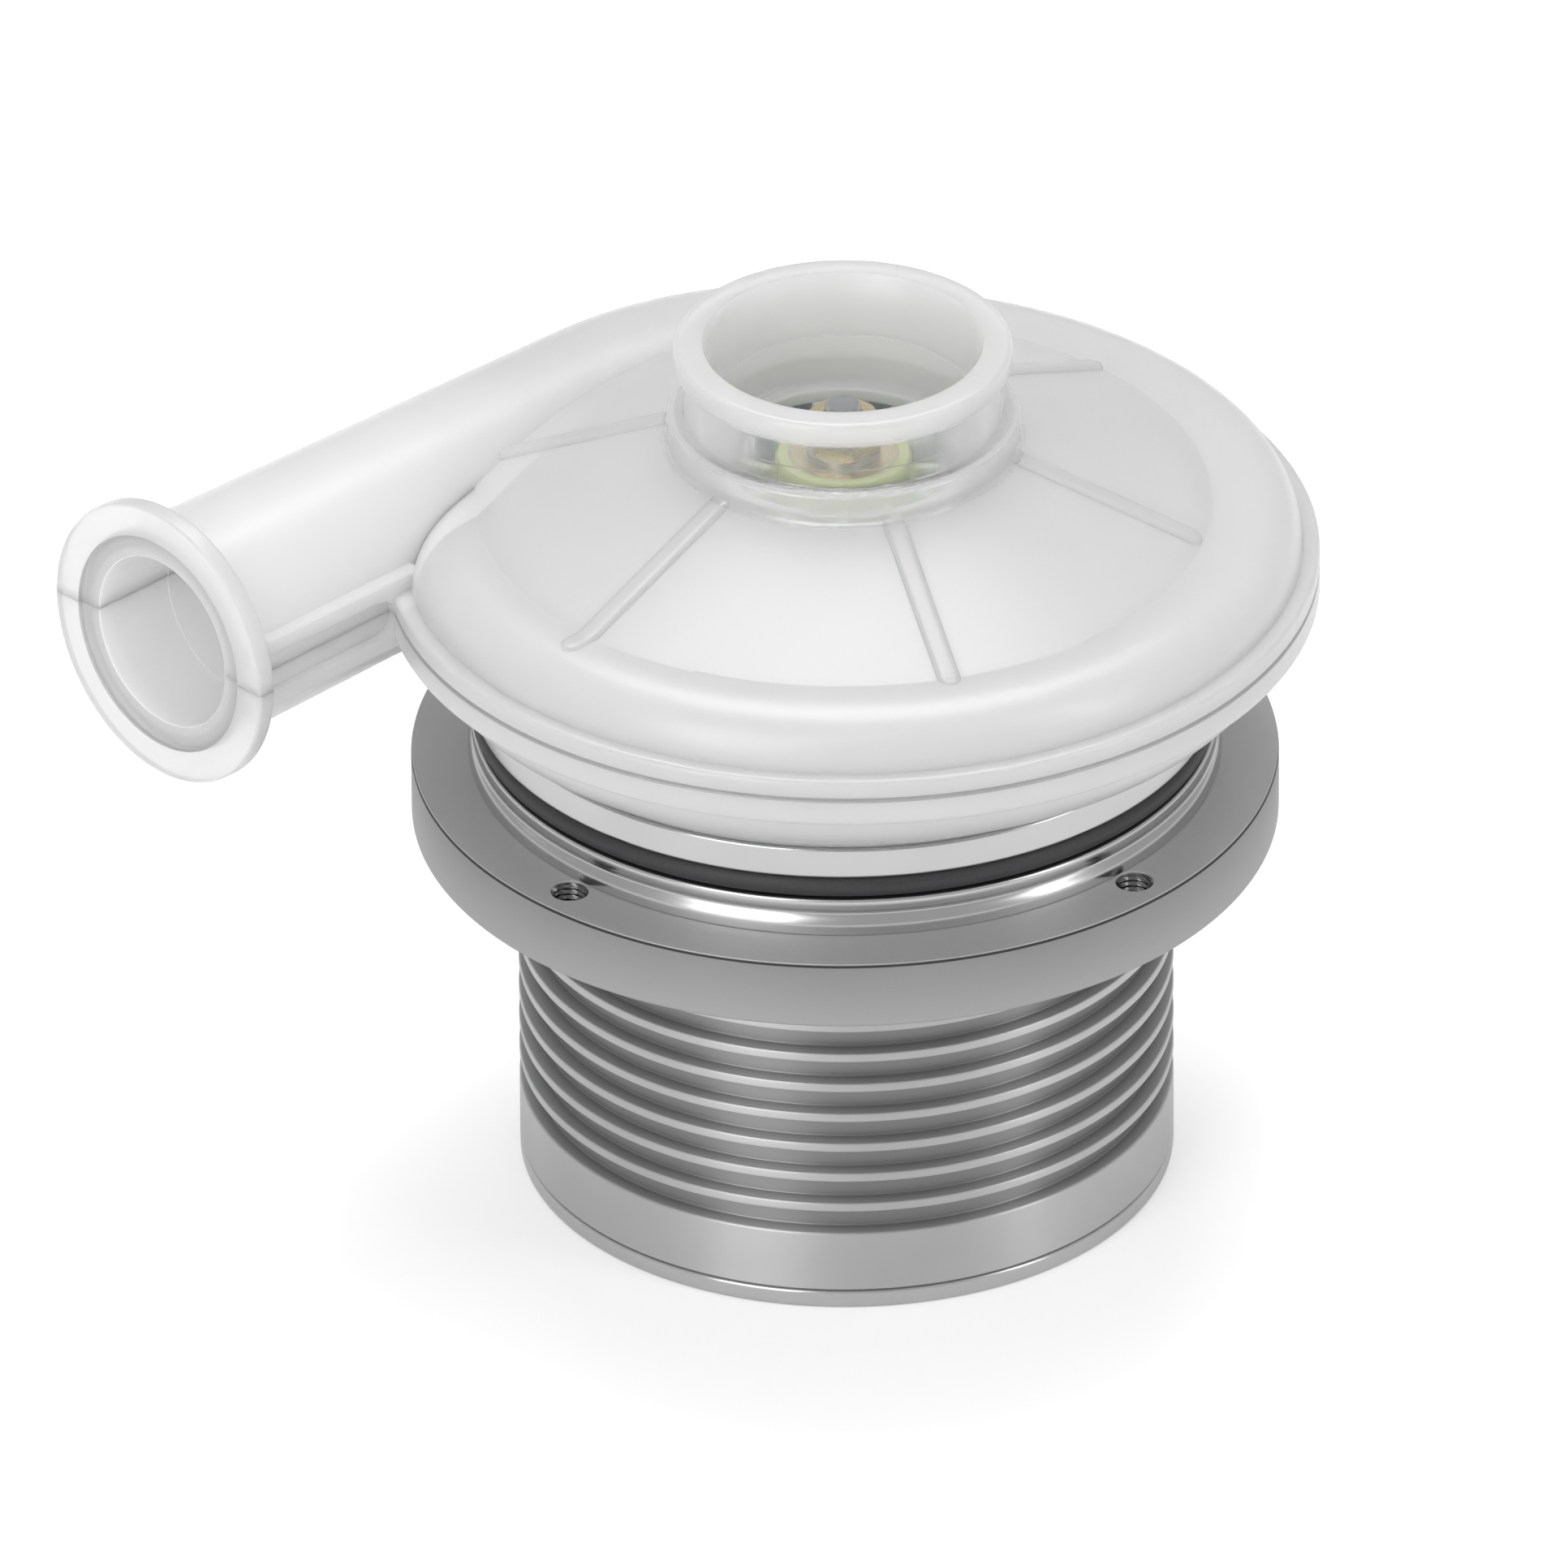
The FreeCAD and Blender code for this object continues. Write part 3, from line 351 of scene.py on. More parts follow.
def dressed(piece, node, finish, body="housing"):
    """Gives a piece its finish and its shading, and puts it in the place of its CAD node."""
    piece.data.materials.clear()
    piece.data.materials.append(finish)
    piece.data.shade_smooth()
    piece.data.set_sharp_from_angle(angle=crease_angle)
    even = piece.modifiers.new("even shading", "WEIGHTED_NORMAL")
    even.keep_sharp = True
    even.weight = large_face_weight
    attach(piece, body)
    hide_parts(node)
    print(piece.name, len(piece.data.polygons), "faces for", node)
    return piece


# %% [markdown]
# One moulding can have faces of different kinds, as where the tool was polished, and some faces get painted
# shade. A second material on those faces shows that. A test on the faces' centres picks them, so that nothing
# depends on how the Boolean modifiers number the faces.

# %% Finishing some faces of a piece


def finish_faces(piece, places):
    """Gives each further finish to the faces whose centres, in millimetres, pass its test."""
    centres = np.zeros(3 * len(piece.data.polygons))
    piece.data.polygons.foreach_get("center", centres)
    chosen = np.zeros(len(piece.data.polygons), np.int32)
    for finish, belongs in places.items():
        piece.data.materials.append(finish)
        own = belongs(*(centres.reshape(-1, 3) / MM).T)
        chosen[own] = len(piece.data.materials) - 1
        print(int(own.sum()), "faces of", piece.name, "in", finish.name)
    piece.data.polygons.foreach_set("material_index", chosen)


# %% [markdown]
# ## The clear shell's finish
# Common name: polycarbonate, injection moulded. The volute's tool was spark eroded, so its faces come out
# finely frosted, and the plastic itself is a little milky: light goes through, but shapes behind are only
# shades. The milk is scattering below the surface over about three millimetres, and a thin coat gives the
# soft sheen. The groove in the inlet collar was polished all round and is clearest at the front, where the
# bore behind it was polished too. That makes a small window on the wheel's hub.
#
# The places are spans of the distance from the blower's axis, the height, the place along the tube, the
# distance from the tube's axis and the reach towards the window, all in millimetres. A third number in a span
# says over what length it fades out. Each place also has its own roughness and clearness.

# %% Frosted polycarbonate
frost_grain = 0.4
grain_spread = 1.15
cloud_size = 18.0
milk_depth = 3.0
frost = 0.36
clearness = 0.45
window_angle = np.radians(-133.8)
groove_span = {"radius": (12.3, 13.4), "height": (66.9, 72.1)}
bore_span = {"radius": (0.0, 11.6), "height": (64.0, 71.5)}
polished_places = {
    "groove": (groove_span, 0.01, 0.5),
    "front of the groove": ({**groove_span, "front": (11.0, 15.0, 5.0)}, 0.01, 0.92),
    "shoulder": ({"radius": (13.9, 14.6), "height": (65.9, 68.1)}, 0.04, 0.55),
    "front of the bore": ({**bore_span, "front": (4.0, 12.0, 3.0)}, 0.01, 0.08),
    "window in the bore": ({**bore_span, "front": (9.3, 12.0, 3.0)}, 0.01, 0.9),
    "tube's bore": ({"x": (-60.0, -10.0), "from tube": (0.0, 8.1)}, 0.4, 0.15),
    "tube's wall": ({"x": (-60.0, -22.0, 18.0), "from tube": (8.3, 12.0)}, 0.36, 0.3),
    "outlet disc": ({"x": (-60.0, -45.3), "from tube": (9.0, 14.0)}, 0.3, 0.45),
}


def frosted_polycarbonate(name, colours, gloss=0.26):
    """Milky plastic whose roughness and clearness change from place to place. The coat has its own gloss."""
    finish, where = new_finish(name)
    radius, height = radius_and_height(finish, where)
    beside = add(finish, "ShaderNodeVectorMath", {0: where, 1: (0, 1, 1)}, operation="MULTIPLY")
    tube_axis = {0: beside, 1: (0, tube_axis_y * MM, parting * MM)}
    from_tube = add(finish, "ShaderNodeVectorMath", tube_axis, "Value", operation="DISTANCE")
    x = add(finish, "ShaderNodeSeparateXYZ", {0: where})
    to_front = {0: where, 1: (np.cos(window_angle), np.sin(window_angle), 0)}
    front = add(finish, "ShaderNodeVectorMath", to_front, "Value", operation="DOT_PRODUCT")
    measures = {"radius": radius, "height": height, "x": x, "from tube": from_tube, "front": front}

    def inside(measure, start, end, soft=0.3):
        """1 inside a span of the measure, in millimetres, and 0 outside it, with soft ends."""
        rise = add(finish, "ShaderNodeMapRange", {0: measure, 1: (start - soft) * MM, 2: start * MM})
        fall = add(finish, "ShaderNodeMapRange", {0: measure, 1: (end + soft) * MM, 2: end * MM})
        return add(finish, "ShaderNodeMath", {0: rise, 1: fall}, operation="MULTIPLY")

    rough, clear = frost, clearness
    for spans, rough_there, clear_there in polished_places.values():
        place = 1.0
        for measure, span in spans.items():
            both = {0: place, 1: inside(measures[measure], *span)}
            place = add(finish, "ShaderNodeMath", both, operation="MULTIPLY")
        rough = add(finish, "ShaderNodeMapRange", {0: place, 3: rough, 4: rough_there})
        clear = add(finish, "ShaderNodeMapRange", {0: place, 3: clear, 4: clear_there})
    rougher = add(finish, "ShaderNodeMath", {0: rough, 1: grain_spread}, operation="MULTIPLY")
    clouds = add(finish, "ShaderNodeTexNoise", {"Vector": where, "Scale": per_metre(cloud_size)})
    grain = add(finish, "ShaderNodeTexNoise", {"Vector": where, "Scale": per_metre(frost_grain)})
    milk = {"Subsurface_Weight": 0.8, "Subsurface_Scale": milk_depth * MM, "Subsurface_Radius": (1, 1, 1)}
    shine = {"IOR": 1.5, "Coat_Weight": 0.5, "Coat_Roughness": gloss, "Transmission_Weight": clear}
    return surfaced(finish, clouds, colours, grain, (rough, rougher), 0.0015, **milk, **shine)


# The wall itself, the ribs with painted shade, the seats and notches with painted shade, and the smooth edge
# of the lip
shell_finish = frosted_polycarbonate("moulded_frosted_polycarbonate", ("#F6F6F6", "#FAFAFA"))
# The ribs' finish is a darker copy of the wall's: painted shade
rib_painted_shade_finish = frosted_polycarbonate("frosted_polycarbonate_painted_rib_shade", ("#E2E2E2", "#E8E8E8"))
# The seat's and notch's finish is a darker copy of the wall's: painted shade
seat_and_notch_painted_shade_finish = frosted_polycarbonate("polycarbonate_painted_seat_and_notch_shade", ("#C6C6C6", "#CCCCCC"))
edge_finish = frosted_polycarbonate("polished_polycarbonate_edge", ("#F4F4F4", "#F8F8F8"), 0.05)
print("finish:", shell_finish.name, "with", ", ".join(polished_places))

# %% [markdown]
# ## The volute
# The volute is the spiral casing that slows the air down and leads it to the outlet. It is moulded in two
# halves that meet at the height of the tube's axis. Here the scroll and the tube are one sweep: the section
# is a superellipse, squarer than an ellipse, and it grows and turns into the tube's circle on the way.
# The wall comes from a second, smaller sweep that is cut out of the first.

# %% Scroll and tube
scroll_start_angle = 150.0
scroll_end_angle = 450.0
merge_angle = 390.0
scroll_start_radius = 35.6
scroll_growth = 2.5
scroll_half_width = 6.0
scroll_roof = 5.95
bowl_lift = 1.6
bowl_depth = parting - neck_top - bowl_lift
fullness_up = 3.0
fullness_down = 2.2
scroll_wall = 1.8
scroll_floor_wall = 2.0
scroll_lead = 30.0
scroll_start_inset = 5.0
tongue_angle = 2.0
tube_throat_radius = 8.7
tube_mouth_radius = 9.5
tube_length = -outlet_face_x
scroll_step = 2.5
tube_step = 1.6
section_steps = 72


def scroll_radius(angle):
    """Outer radius of the scroll, which grows evenly with the angle."""
    share = (angle - scroll_start_angle) / (scroll_end_angle - scroll_start_angle)
    return scroll_start_radius + scroll_growth * share


def scroll_taper(angle):
    """How far the scroll has come out of the core, from 0 to 1, by the curve 3t^2 - 2t^3 of the share t."""
    share = np.clip((angle - scroll_start_angle + scroll_lead) / scroll_lead, 0, 1)
    return share * share * (3 - 2 * share)


def superellipse(turn, half_width, roof, bowl, power_up, power_down):
    """Distance from the middle in each direction: (|cos/width|^p + |sin/height|^p)^(-1/p)."""
    above = np.sin(turn) >= 0
    height = np.where(above, roof, bowl)
    power = np.where(above, power_up, power_down)
    total = (np.abs(np.cos(turn)) / half_width) ** power + (np.abs(np.sin(turn)) / height) ** power
    return total ** (-1 / power)


def scroll_sweep(start, wall, floor_wall, mouth_radius, run_out):
    """Grid of sections along the scroll and the tube, drawn in from the outer face by the wall.

    A section's point is the scroll's radius, less half its width, plus the superellipse's reach times the
    cosine, at the parting plane plus the reach times the sine. Towards the tube the section's sizes and
    powers go over to a circle's by 3t^2 - 2t^3 of the share t of the way.
    """
    turn = np.linspace(0, 2 * np.pi, section_steps, endpoint=False)[None]
    angle = np.arange(start, scroll_end_angle + scroll_step / 2, scroll_step)[:, None]
    share = np.clip((angle - merge_angle) / (scroll_end_angle - merge_angle), 0, 1)
    share = share * share * (3 - 2 * share)
    half_width = scroll_half_width + (tube_throat_radius - scroll_half_width) * share
    roof = scroll_roof + (tube_throat_radius - scroll_roof) * share - wall
    bowl = bowl_depth - floor_wall + (tube_throat_radius - wall - bowl_depth + floor_wall) * share
    power_up = fullness_up + (2 - fullness_up) * share
    power_down = fullness_down + (2 - fullness_down) * share
    inset = scroll_start_inset * (1 - scroll_taper(angle))
    half_width = half_width - inset / 2
    reach = superellipse(turn, half_width - wall, roof, bowl, power_up, power_down)
    radius = scroll_radius(angle) - inset - half_width + reach * np.cos(turn)
    height = parting + reach * np.sin(turn)
    along = np.radians(angle)
    scroll = np.stack([radius * np.cos(along), radius * np.sin(along), height], axis=-1)
    steps = int(round(tube_length / tube_step))
    x = np.linspace(0, tube_length + run_out, steps + 1)[1:, None]
    throat = tube_throat_radius - wall
    tube = throat + (mouth_radius - throat) * x / tube_length
    y = tube_axis_y + tube * np.cos(turn)
    z = parting + tube * np.sin(turn)
    return np.concatenate([scroll, np.stack([-x + 0 * y, y, z], axis=-1)])


outer_start = scroll_start_angle - scroll_lead
outer_sweep = scroll_sweep(outer_start, 0.0, 0.0, tube_mouth_radius, -disc_thickness / 2)
inner_start = scroll_start_angle + tongue_angle
inner_sweep = scroll_sweep(inner_start, scroll_wall, scroll_floor_wall, socket_radius, overcut)
print("scroll and tube:", outer_sweep.shape[0], "sections of", outer_sweep.shape[1], "points")

# %% [markdown]
# Cone, collar and the round body below them are one turned core. The collar has a shoulder, a groove and a
# lip with a rounded rim, over which a hose or a rubber boot is pushed.

# %% Core and cavity
cone_edge_radius = 29.9
cone_edge = parting + 5.8
cone_top = cone_edge + 5.9
cone_wall = 1.9
collar_radius = 14.2
collar_shoulder = cone_top + 2.7
collar_groove_radius = 12.9
collar_lip_bottom = collar_shoulder + 4.4
collar_lip_radius = mounts["inlet_lip"]["dims"]["r_mm"]
inlet_mouth_radius = 11.3
inlet_mouth_depth = 2.2
inlet_stop = mounts["inlet_bore"]["pos_m"][2] / MM - mounts["inlet_bore"]["dims"]["length_mm"] / 2
inlet_stop_width = 0.12
eye_radius = 9.1
eye_bottom = cone_top - cone_wall
eye_top = eye_bottom + 1.2
cavity_radius = 28.0
floor_top = neck_top + 1.8
cone_slope = (cone_top - cone_edge) / (cone_edge_radius - collar_radius)


def cone_height(radius):
    """Height of the cone's outer face at a radius, which falls evenly from the collar to the edge."""
    return cone_edge + (cone_edge_radius - radius) * cone_slope


core_outline = rounded(
    [
        (0, neck_top),
        (cone_edge_radius, neck_top),
        (cone_edge_radius, cone_edge),
        (collar_radius, cone_top),
        (collar_radius, collar_shoulder),
        (collar_groove_radius, collar_shoulder),
        (collar_groove_radius, collar_lip_bottom),
        (collar_lip_radius, collar_lip_bottom),
        (collar_lip_radius, inlet_top),
        (0, inlet_top),
    ],
    [0, 0.3, 0.35, 0.5, 0.3, 0.25, 0.25, 0.2, 0.6, 0],
)
cavity_outline = rounded(
    [
        (0, floor_top),
        (cavity_radius, floor_top),
        (cavity_radius, cone_height(cavity_radius) - cone_wall),
        (collar_radius, eye_bottom),
        (eye_radius, eye_bottom),
        (eye_radius, eye_top),
        (inlet_bore - inlet_stop_width, eye_top),
        (inlet_bore - inlet_stop_width, inlet_stop),
        (inlet_bore, inlet_stop),
        (inlet_bore, inlet_top - inlet_mouth_depth),
        (inlet_mouth_radius, inlet_top),
        (inlet_mouth_radius, inlet_top + overcut),
        (0, inlet_top + overcut),
    ],
    [0, 0.8, 0.5, 0.5, 0.3, 0.3, 0.3, 0.08, 0.1, 1.4, 0.25, 0, 0],
)
print("cone from", round(cone_edge, 2), "to", round(cone_top, 2), "mm, collar up to", round(inlet_top, 2))

# %% [markdown]
# A lip runs round the scroll where the halves meet. Its outline is carried round the scroll as the scroll
# grows, and it has a small notch at the parting plane, where the rounded edges of the two mouldings meet.

# %% Lip round the parting plane
lip_width = 1.3
lip_above = 1.7
lip_below = 2.4
lip_lead = 8.0
lip_run_out = 18.0
lip_root = 1.0
notch = 0.2
lip_edge = 0.5


def lip_sweep():
    """Grid of the lip: points given from the scroll's radius outwards, or from the core's radius."""
    root = cone_edge_radius - lip_root - scroll_start_radius
    outline = rounded(
        [
            (root, -lip_below),
            (lip_width, -lip_below),
            (lip_width, -notch),
            (lip_width - notch, 0),
            (lip_width, notch),
            (lip_width, lip_above),
            (root, lip_above),
        ],
        [0, lip_edge, 0.2, 0, 0.2, lip_edge, 0],
    )
    angle = np.arange(scroll_start_angle - lip_lead, scroll_end_angle + lip_run_out + 1, 2.0)[:, None]
    grown = (scroll_radius(angle) - scroll_start_radius) * (outline[:, 0] > root)
    radius = scroll_start_radius + outline[:, 0] + grown
    height = np.broadcast_to(parting + outline[:, 1], radius.shape)
    turn = np.radians(angle)
    return np.stack([radius * np.cos(turn), radius * np.sin(turn), height], axis=-1)


lip_grid = lip_sweep()
print("lip:", lip_grid.shape[0], "sections")

# %% [markdown]
# Six ribs stiffen the cone. A rib is a ridge with a rounded crest: across it the height is a superellipse,
# and towards its outer end both its width and its height close in like a quarter circle.

# %% Ribs on the cone
rib_count = 6
rib_width = 1.9
rib_height = 0.45
rib_crest_power = 3.0
rib_end = 31.2
rib_end_shift = 1.7
rib_end_shift_angle = 136.0
rib_end_share = 0.6
rib_root = 0.25
clock_angle = 2.4


def rib_end_at(angle):
    """The ribs end on a circle that is shifted sideways: its radius, plus the shift times a cosine."""
    return rib_end + rib_end_shift * np.cos(np.radians(angle - rib_end_shift_angle))


def rib_grid(angle):
    """One rib: rows run outwards, columns go over the crest and back under the face that it stands on.

    Its crest is a superellipse across. Over the last half width its width is the root of 1 - t^2, and its
    height falls in the same way to the share that is left at its end.
    """
    start = collar_radius - rib_root
    end = rib_end_at(angle)
    half = rib_width / 2
    middle = np.linspace(start, end - half, 30)
    # It stops just short of a quarter turn, so that the last row keeps some width
    closing = end - half + half * np.sin(np.linspace(0, 0.48 * np.pi, 10)[1:])
    along = np.concatenate([middle, closing])[:, None]
    closed = np.clip((along - (end - half)) / half, 0, 1)
    narrow = np.sqrt(np.maximum(1 - closed**2, 0))
    turn = np.linspace(0, np.pi, 17)[None]
    crest = superellipse(turn, half, rib_height, rib_height, rib_crest_power, rib_crest_power)
    across = np.concatenate([crest * np.cos(turn), [[-half, half]]], axis=1) * narrow
    lift = np.concatenate([crest * np.sin(turn), [[-cone_wall / 2] * 2]], axis=1)
    lift = np.where(lift > 0, lift * (rib_end_share + (1 - rib_end_share) * narrow), lift)
    height = np.maximum(cone_height(along), cone_edge) + lift
    return copied_around(np.stack([along + 0 * across, across, height], axis=-1), angle)[0]


rib_angles = evenly(rib_count, clock_angle)
ribs = solid("ribs", capped(np.stack([rib_grid(angle) for angle in rib_angles])))
print(rib_count, "ribs,", rib_width, "mm wide")

# %% [markdown]
# Along the inner side of the tube lies a raised pad with a long pocket in it. Both are a rounded outline in
# x and z, carried across the wall.

# %% Ledges beside the tube
ledge_stand_out = 0.45
ledge_outer_height = 3.15
ledge_inner_height = 1.75
ledge_end_gap = 3.0
ledge_root = 1.5


def plate_across(outline, near_y, far_y, edge):
    """Grid of a plate whose outline lies in x and z and which runs from near_y to far_y, with a worn edge."""
    middle = outline.mean(axis=0)
    inset = middle + (outline - middle) * (1 - edge / np.abs(outline - middle).max(axis=0))
    step = np.sign(far_y - near_y) * edge
    rows = [(outline, near_y), (outline, far_y - step), (inset, far_y)]
    return np.stack([np.c_[flat[:, 0], np.full(len(flat), y), flat[:, 1]] for flat, y in rows])


pad_face = tube_axis_y - tube_mouth_radius - ledge_stand_out
pad_root = tube_axis_y - (tube_mouth_radius + socket_radius) / 2
pad_start = outlet_face_x + disc_thickness / 2
pad_end = -np.sqrt(scroll_start_radius**2 - pad_face**2) + ledge_root
pad_outline = rounded(
    [
        (pad_start, parting - ledge_outer_height),
        (pad_end, parting - ledge_outer_height),
        (pad_end, parting + ledge_outer_height),
        (pad_start, parting + ledge_outer_height),
    ],
    0.2,
)
pocket_outline = rounded(
    [
        (pad_start, parting - ledge_inner_height),
        (pad_end - ledge_end_gap, parting - ledge_inner_height),
        (pad_end - ledge_end_gap, parting + ledge_inner_height),
        (pad_start, parting + ledge_inner_height),
    ],
    [0, 2.2, 2.2, 0],
    8,
)
pad = solid("pad", capped(plate_across(pad_outline, pad_root, pad_face, 0.12)))
pocket = solid("pocket", capped(plate_across(pocket_outline, pad_root - 0.1, pad_face - overcut, 0.0)))
pad = combined(pad, [pocket], "DIFFERENCE")
print("pad from x", round(pad_start, 1), "to", round(pad_end, 1), "mm")

# %% [markdown]
# The tube ends in a flat disc with a socket. Everything is now joined, hollowed out and cut in two. The
# halves keep a hair's breadth of air between them, which is the fine line that a real joint shows.

# %% Outlet disc and its socket
disc_outline = rounded(
    [(0, 0), (disc_radius, 0), (disc_radius, disc_thickness), (0, disc_thickness)], [0, 0.3, 0.3, 0]
)
seat_radius = 9.3
seat_depth = 0.35
socket_outline = rounded(
    [
        (0, -overcut),
        (seat_radius, -overcut),
        (seat_radius, seat_depth),
        (socket_radius, seat_depth + 0.1),
        (socket_radius, socket_depth),
        (0, socket_depth),
    ],
    [0, 0, 0.1, 0.15, 0.15, 0],
)
outlet_centre = np.array([outlet_face_x, tube_axis_y, parting])
disc = solid("disc", facing_x(turned_grid(disc_outline, 128)) + outlet_centre)
socket = solid("socket", facing_x(turned_grid(socket_outline, 96)) + outlet_centre)
print("outlet disc", 2 * disc_radius, "mm across, bore", 2 * socket_radius, "mm")

# %% Joining the volute and parting it
joint_gap = 0.012
far = 100.0

shell = solid("shell", capped(outer_sweep))
shell = combined(shell, [turned("core", core_outline), solid("lip", capped(lip_grid))], "UNION")
shell = combined(shell, [pad, disc, ribs], "UNION")
hollows = [solid("air way", capped(inner_sweep)), turned("cavity", cavity_outline), socket]
shell = combined(shell, hollows, "DIFFERENCE")

volute_upper = shell
volute_lower = shell.copy()
volute_lower.data = shell.data.copy()
bpy.context.collection.objects.link(volute_lower)
above = block("above", (-far, -far, parting + joint_gap / 2), (far, far, far))
below = block("below", (-far, -far, 0), (far, far, parting - joint_gap / 2))
volute_upper = combined(volute_upper, [above], "INTERSECT")
volute_lower = combined(volute_lower, [below], "INTERSECT")
print("upper half", len(volute_upper.data.polygons), "faces, lower half", len(volute_lower.data.polygons))

# %% [markdown]
# Four countersunk screws hold the lower half on the neck, and the shaft comes up through its middle. The
# holes are drilled before the halves are dressed.

# %% Holes in the volute's floor
screw_circle = 17.0
screw_head_radius = 2.3
screw_head_height = 1.2
screw_shank_radius = 1.25
screw_count = 4
centre_hole_radius = 5.0
through = [
    (0, neck_top - overcut),
    (centre_hole_radius, neck_top - overcut),
    (centre_hole_radius, floor_top + overcut),
    (0, floor_top + overcut),
]
centre_hole = turned("centre hole", through)
sunk_hole = [
    (0, neck_top - overcut),
    (screw_shank_radius, neck_top - overcut),
    (screw_shank_radius, floor_top - screw_head_height),
    (screw_head_radius, floor_top),
    (screw_head_radius, floor_top + overcut),
    (0, floor_top + overcut),
]
screw_holes = drill("screw holes", sunk_hole, screw_circle, evenly(screw_count))
volute_lower = combined(volute_lower, [centre_hole, screw_holes], "DIFFERENCE")

for half, name in ((volute_upper, "volute_upper_half"), (volute_lower, "volute_lower_half")):
    half.name = name
    sealed(half)
print(screw_count, "screw holes on a circle of", 2 * screw_circle, "mm")

# %% [markdown]
# The halves get the frosted finish. Then the ribs, the outer faces of the lip, the notch between the halves
# and the seat in the outlet disc get finishes of their own. The lip's outer faces have a smoother coat, and
# the ribs, the notch and the seat are darker copies of the plastic: painted shade.

# %% Finishing the volute


def on_rib(x, y, z):
    """True within a rib's width of one of the six ribs' middle lines, and between its foot and its crest."""
    radius, angle = np.hypot(x, y), np.degrees(np.arctan2(y, x))
    pitch = 360 / rib_count
    apart = (angle - clock_angle + pitch / 2) % pitch - pitch / 2
    aside = np.abs(radius * np.sin(np.radians(apart)))
    above = z - np.where(radius < cone_edge_radius, cone_height(radius), parting + scroll_roof)
    on_length = (radius > collar_radius + 0.2) & (radius < rib_end_at(angle))
    return (aside < rib_width / 2) & on_length & (above > 0.03) & (above < rib_height + 0.02)


def in_seat(x, y, z):
    """True in the sunk seat round the mouth of the outlet's bore."""
    aside = np.hypot(y - tube_axis_y, z - parting)
    return (x < outlet_face_x + seat_depth + 0.1) & (aside < seat_radius + 0.05)


def on_lip(x, y, z):
    """True on the outer faces of the lip, which are further out than the scroll and not beside the tube."""
    beyond = np.hypot(x, y) > scroll_start_radius + 0.4
    return beyond & ((x > pad_end) | (y < pad_face)) & (np.abs(z - parting) < lip_below + 0.1)


def in_notch(x, y, z):
    """True in the notch at the parting plane, and not on the joint between the halves."""
    apart = np.abs(z - parting)
    return on_lip(x, y, z) & (apart < notch) & (apart > joint_gap)


# The notch and the outlet's seat get painted shade
lip_places = {edge_finish: on_lip, seat_and_notch_painted_shade_finish: lambda *centre: in_notch(*centre) | in_seat(*centre)}
dressed(volute_upper, "volute_top", shell_finish)
# The ribs get painted shade
finish_faces(volute_upper, {rib_painted_shade_finish: on_rib, **lip_places})
dressed(volute_lower, "volute_bottom", shell_finish)
finish_faces(volute_lower, lip_places)

# %% [markdown]
# ## The neck
# Common name: aluminium, turned on a lathe and then polished to a mirror. It shows as bright rings and soft
# dark bands, the room drawn out by its roundness. Two rounded beads stand at its foot, and a groove half way
# up holds a black rubber ring.

# %% Polished aluminium and nitrile rubber


def polished_aluminium():
    """Bright metal with the faintest haze, and fine rings that are left of the turning."""
    finish, where = new_finish("turned_and_polished_aluminium")
    haze = add(finish, "ShaderNodeTexNoise", {"Vector": where, "Scale": per_metre(9.0)})
    lines = lathe_lines(finish, where, 0.35)
    return surfaced(finish, haze, ("#C0C0C0", "#CCCCCC"), lines, (0.18, 0.26), 0.0006, Metallic=1.0)


def nitrile_rubber():
    """Black rubber, which is never quite black: its fine grain gives a dull grey sheen."""
    finish, where = new_finish("moulded_nitrile_rubber")
    grain = add(finish, "ShaderNodeTexNoise", {"Vector": where, "Scale": per_metre(0.3)})
    return surfaced(finish, grain, ("#262627", "#38383A"), grain, (0.42, 0.6), 0.004, IOR=1.5)


neck_finish = polished_aluminium()
rubber_finish = nitrile_rubber()
print("finishes:", neck_finish.name, rubber_finish.name)

# %% [markdown]
# The neck is one turned outline, from the bearing's seat inside round to the outer face. Its screws' head
# rooms and tapped holes are drilled into it. The rubber ring's section is a circle that lies in the groove.

# %% Neck plate and its ring
neck_radius = 30.1
neck_foot_radius = neck_high[0]
bead_height = 1.0
edge_break = 0.25
seal_radius = (seal_high[2] - seal_low[2]) / 2
seal_middle = (seal_high[2] + seal_low[2]) / 2
groove_floor = seal_high[0] - 2 * seal_radius
neck_relief_depth = 2.4
neck_spigot_depth = 3.0
neck_spigot = 20.38
spigot_wall = 2.2
boss_bottom = neck_low[2]
boss_radius = 10.2
bearing_seat = 8.02
bearing_seat_top = flange_top + 1.1
bearing_lip_bore = 6.4
bearing_lip_top = bearing_seat_top + 0.6
neck_bore = 4.1
foot_top = flange_top + bead_height
bead_top = foot_top + bead_height

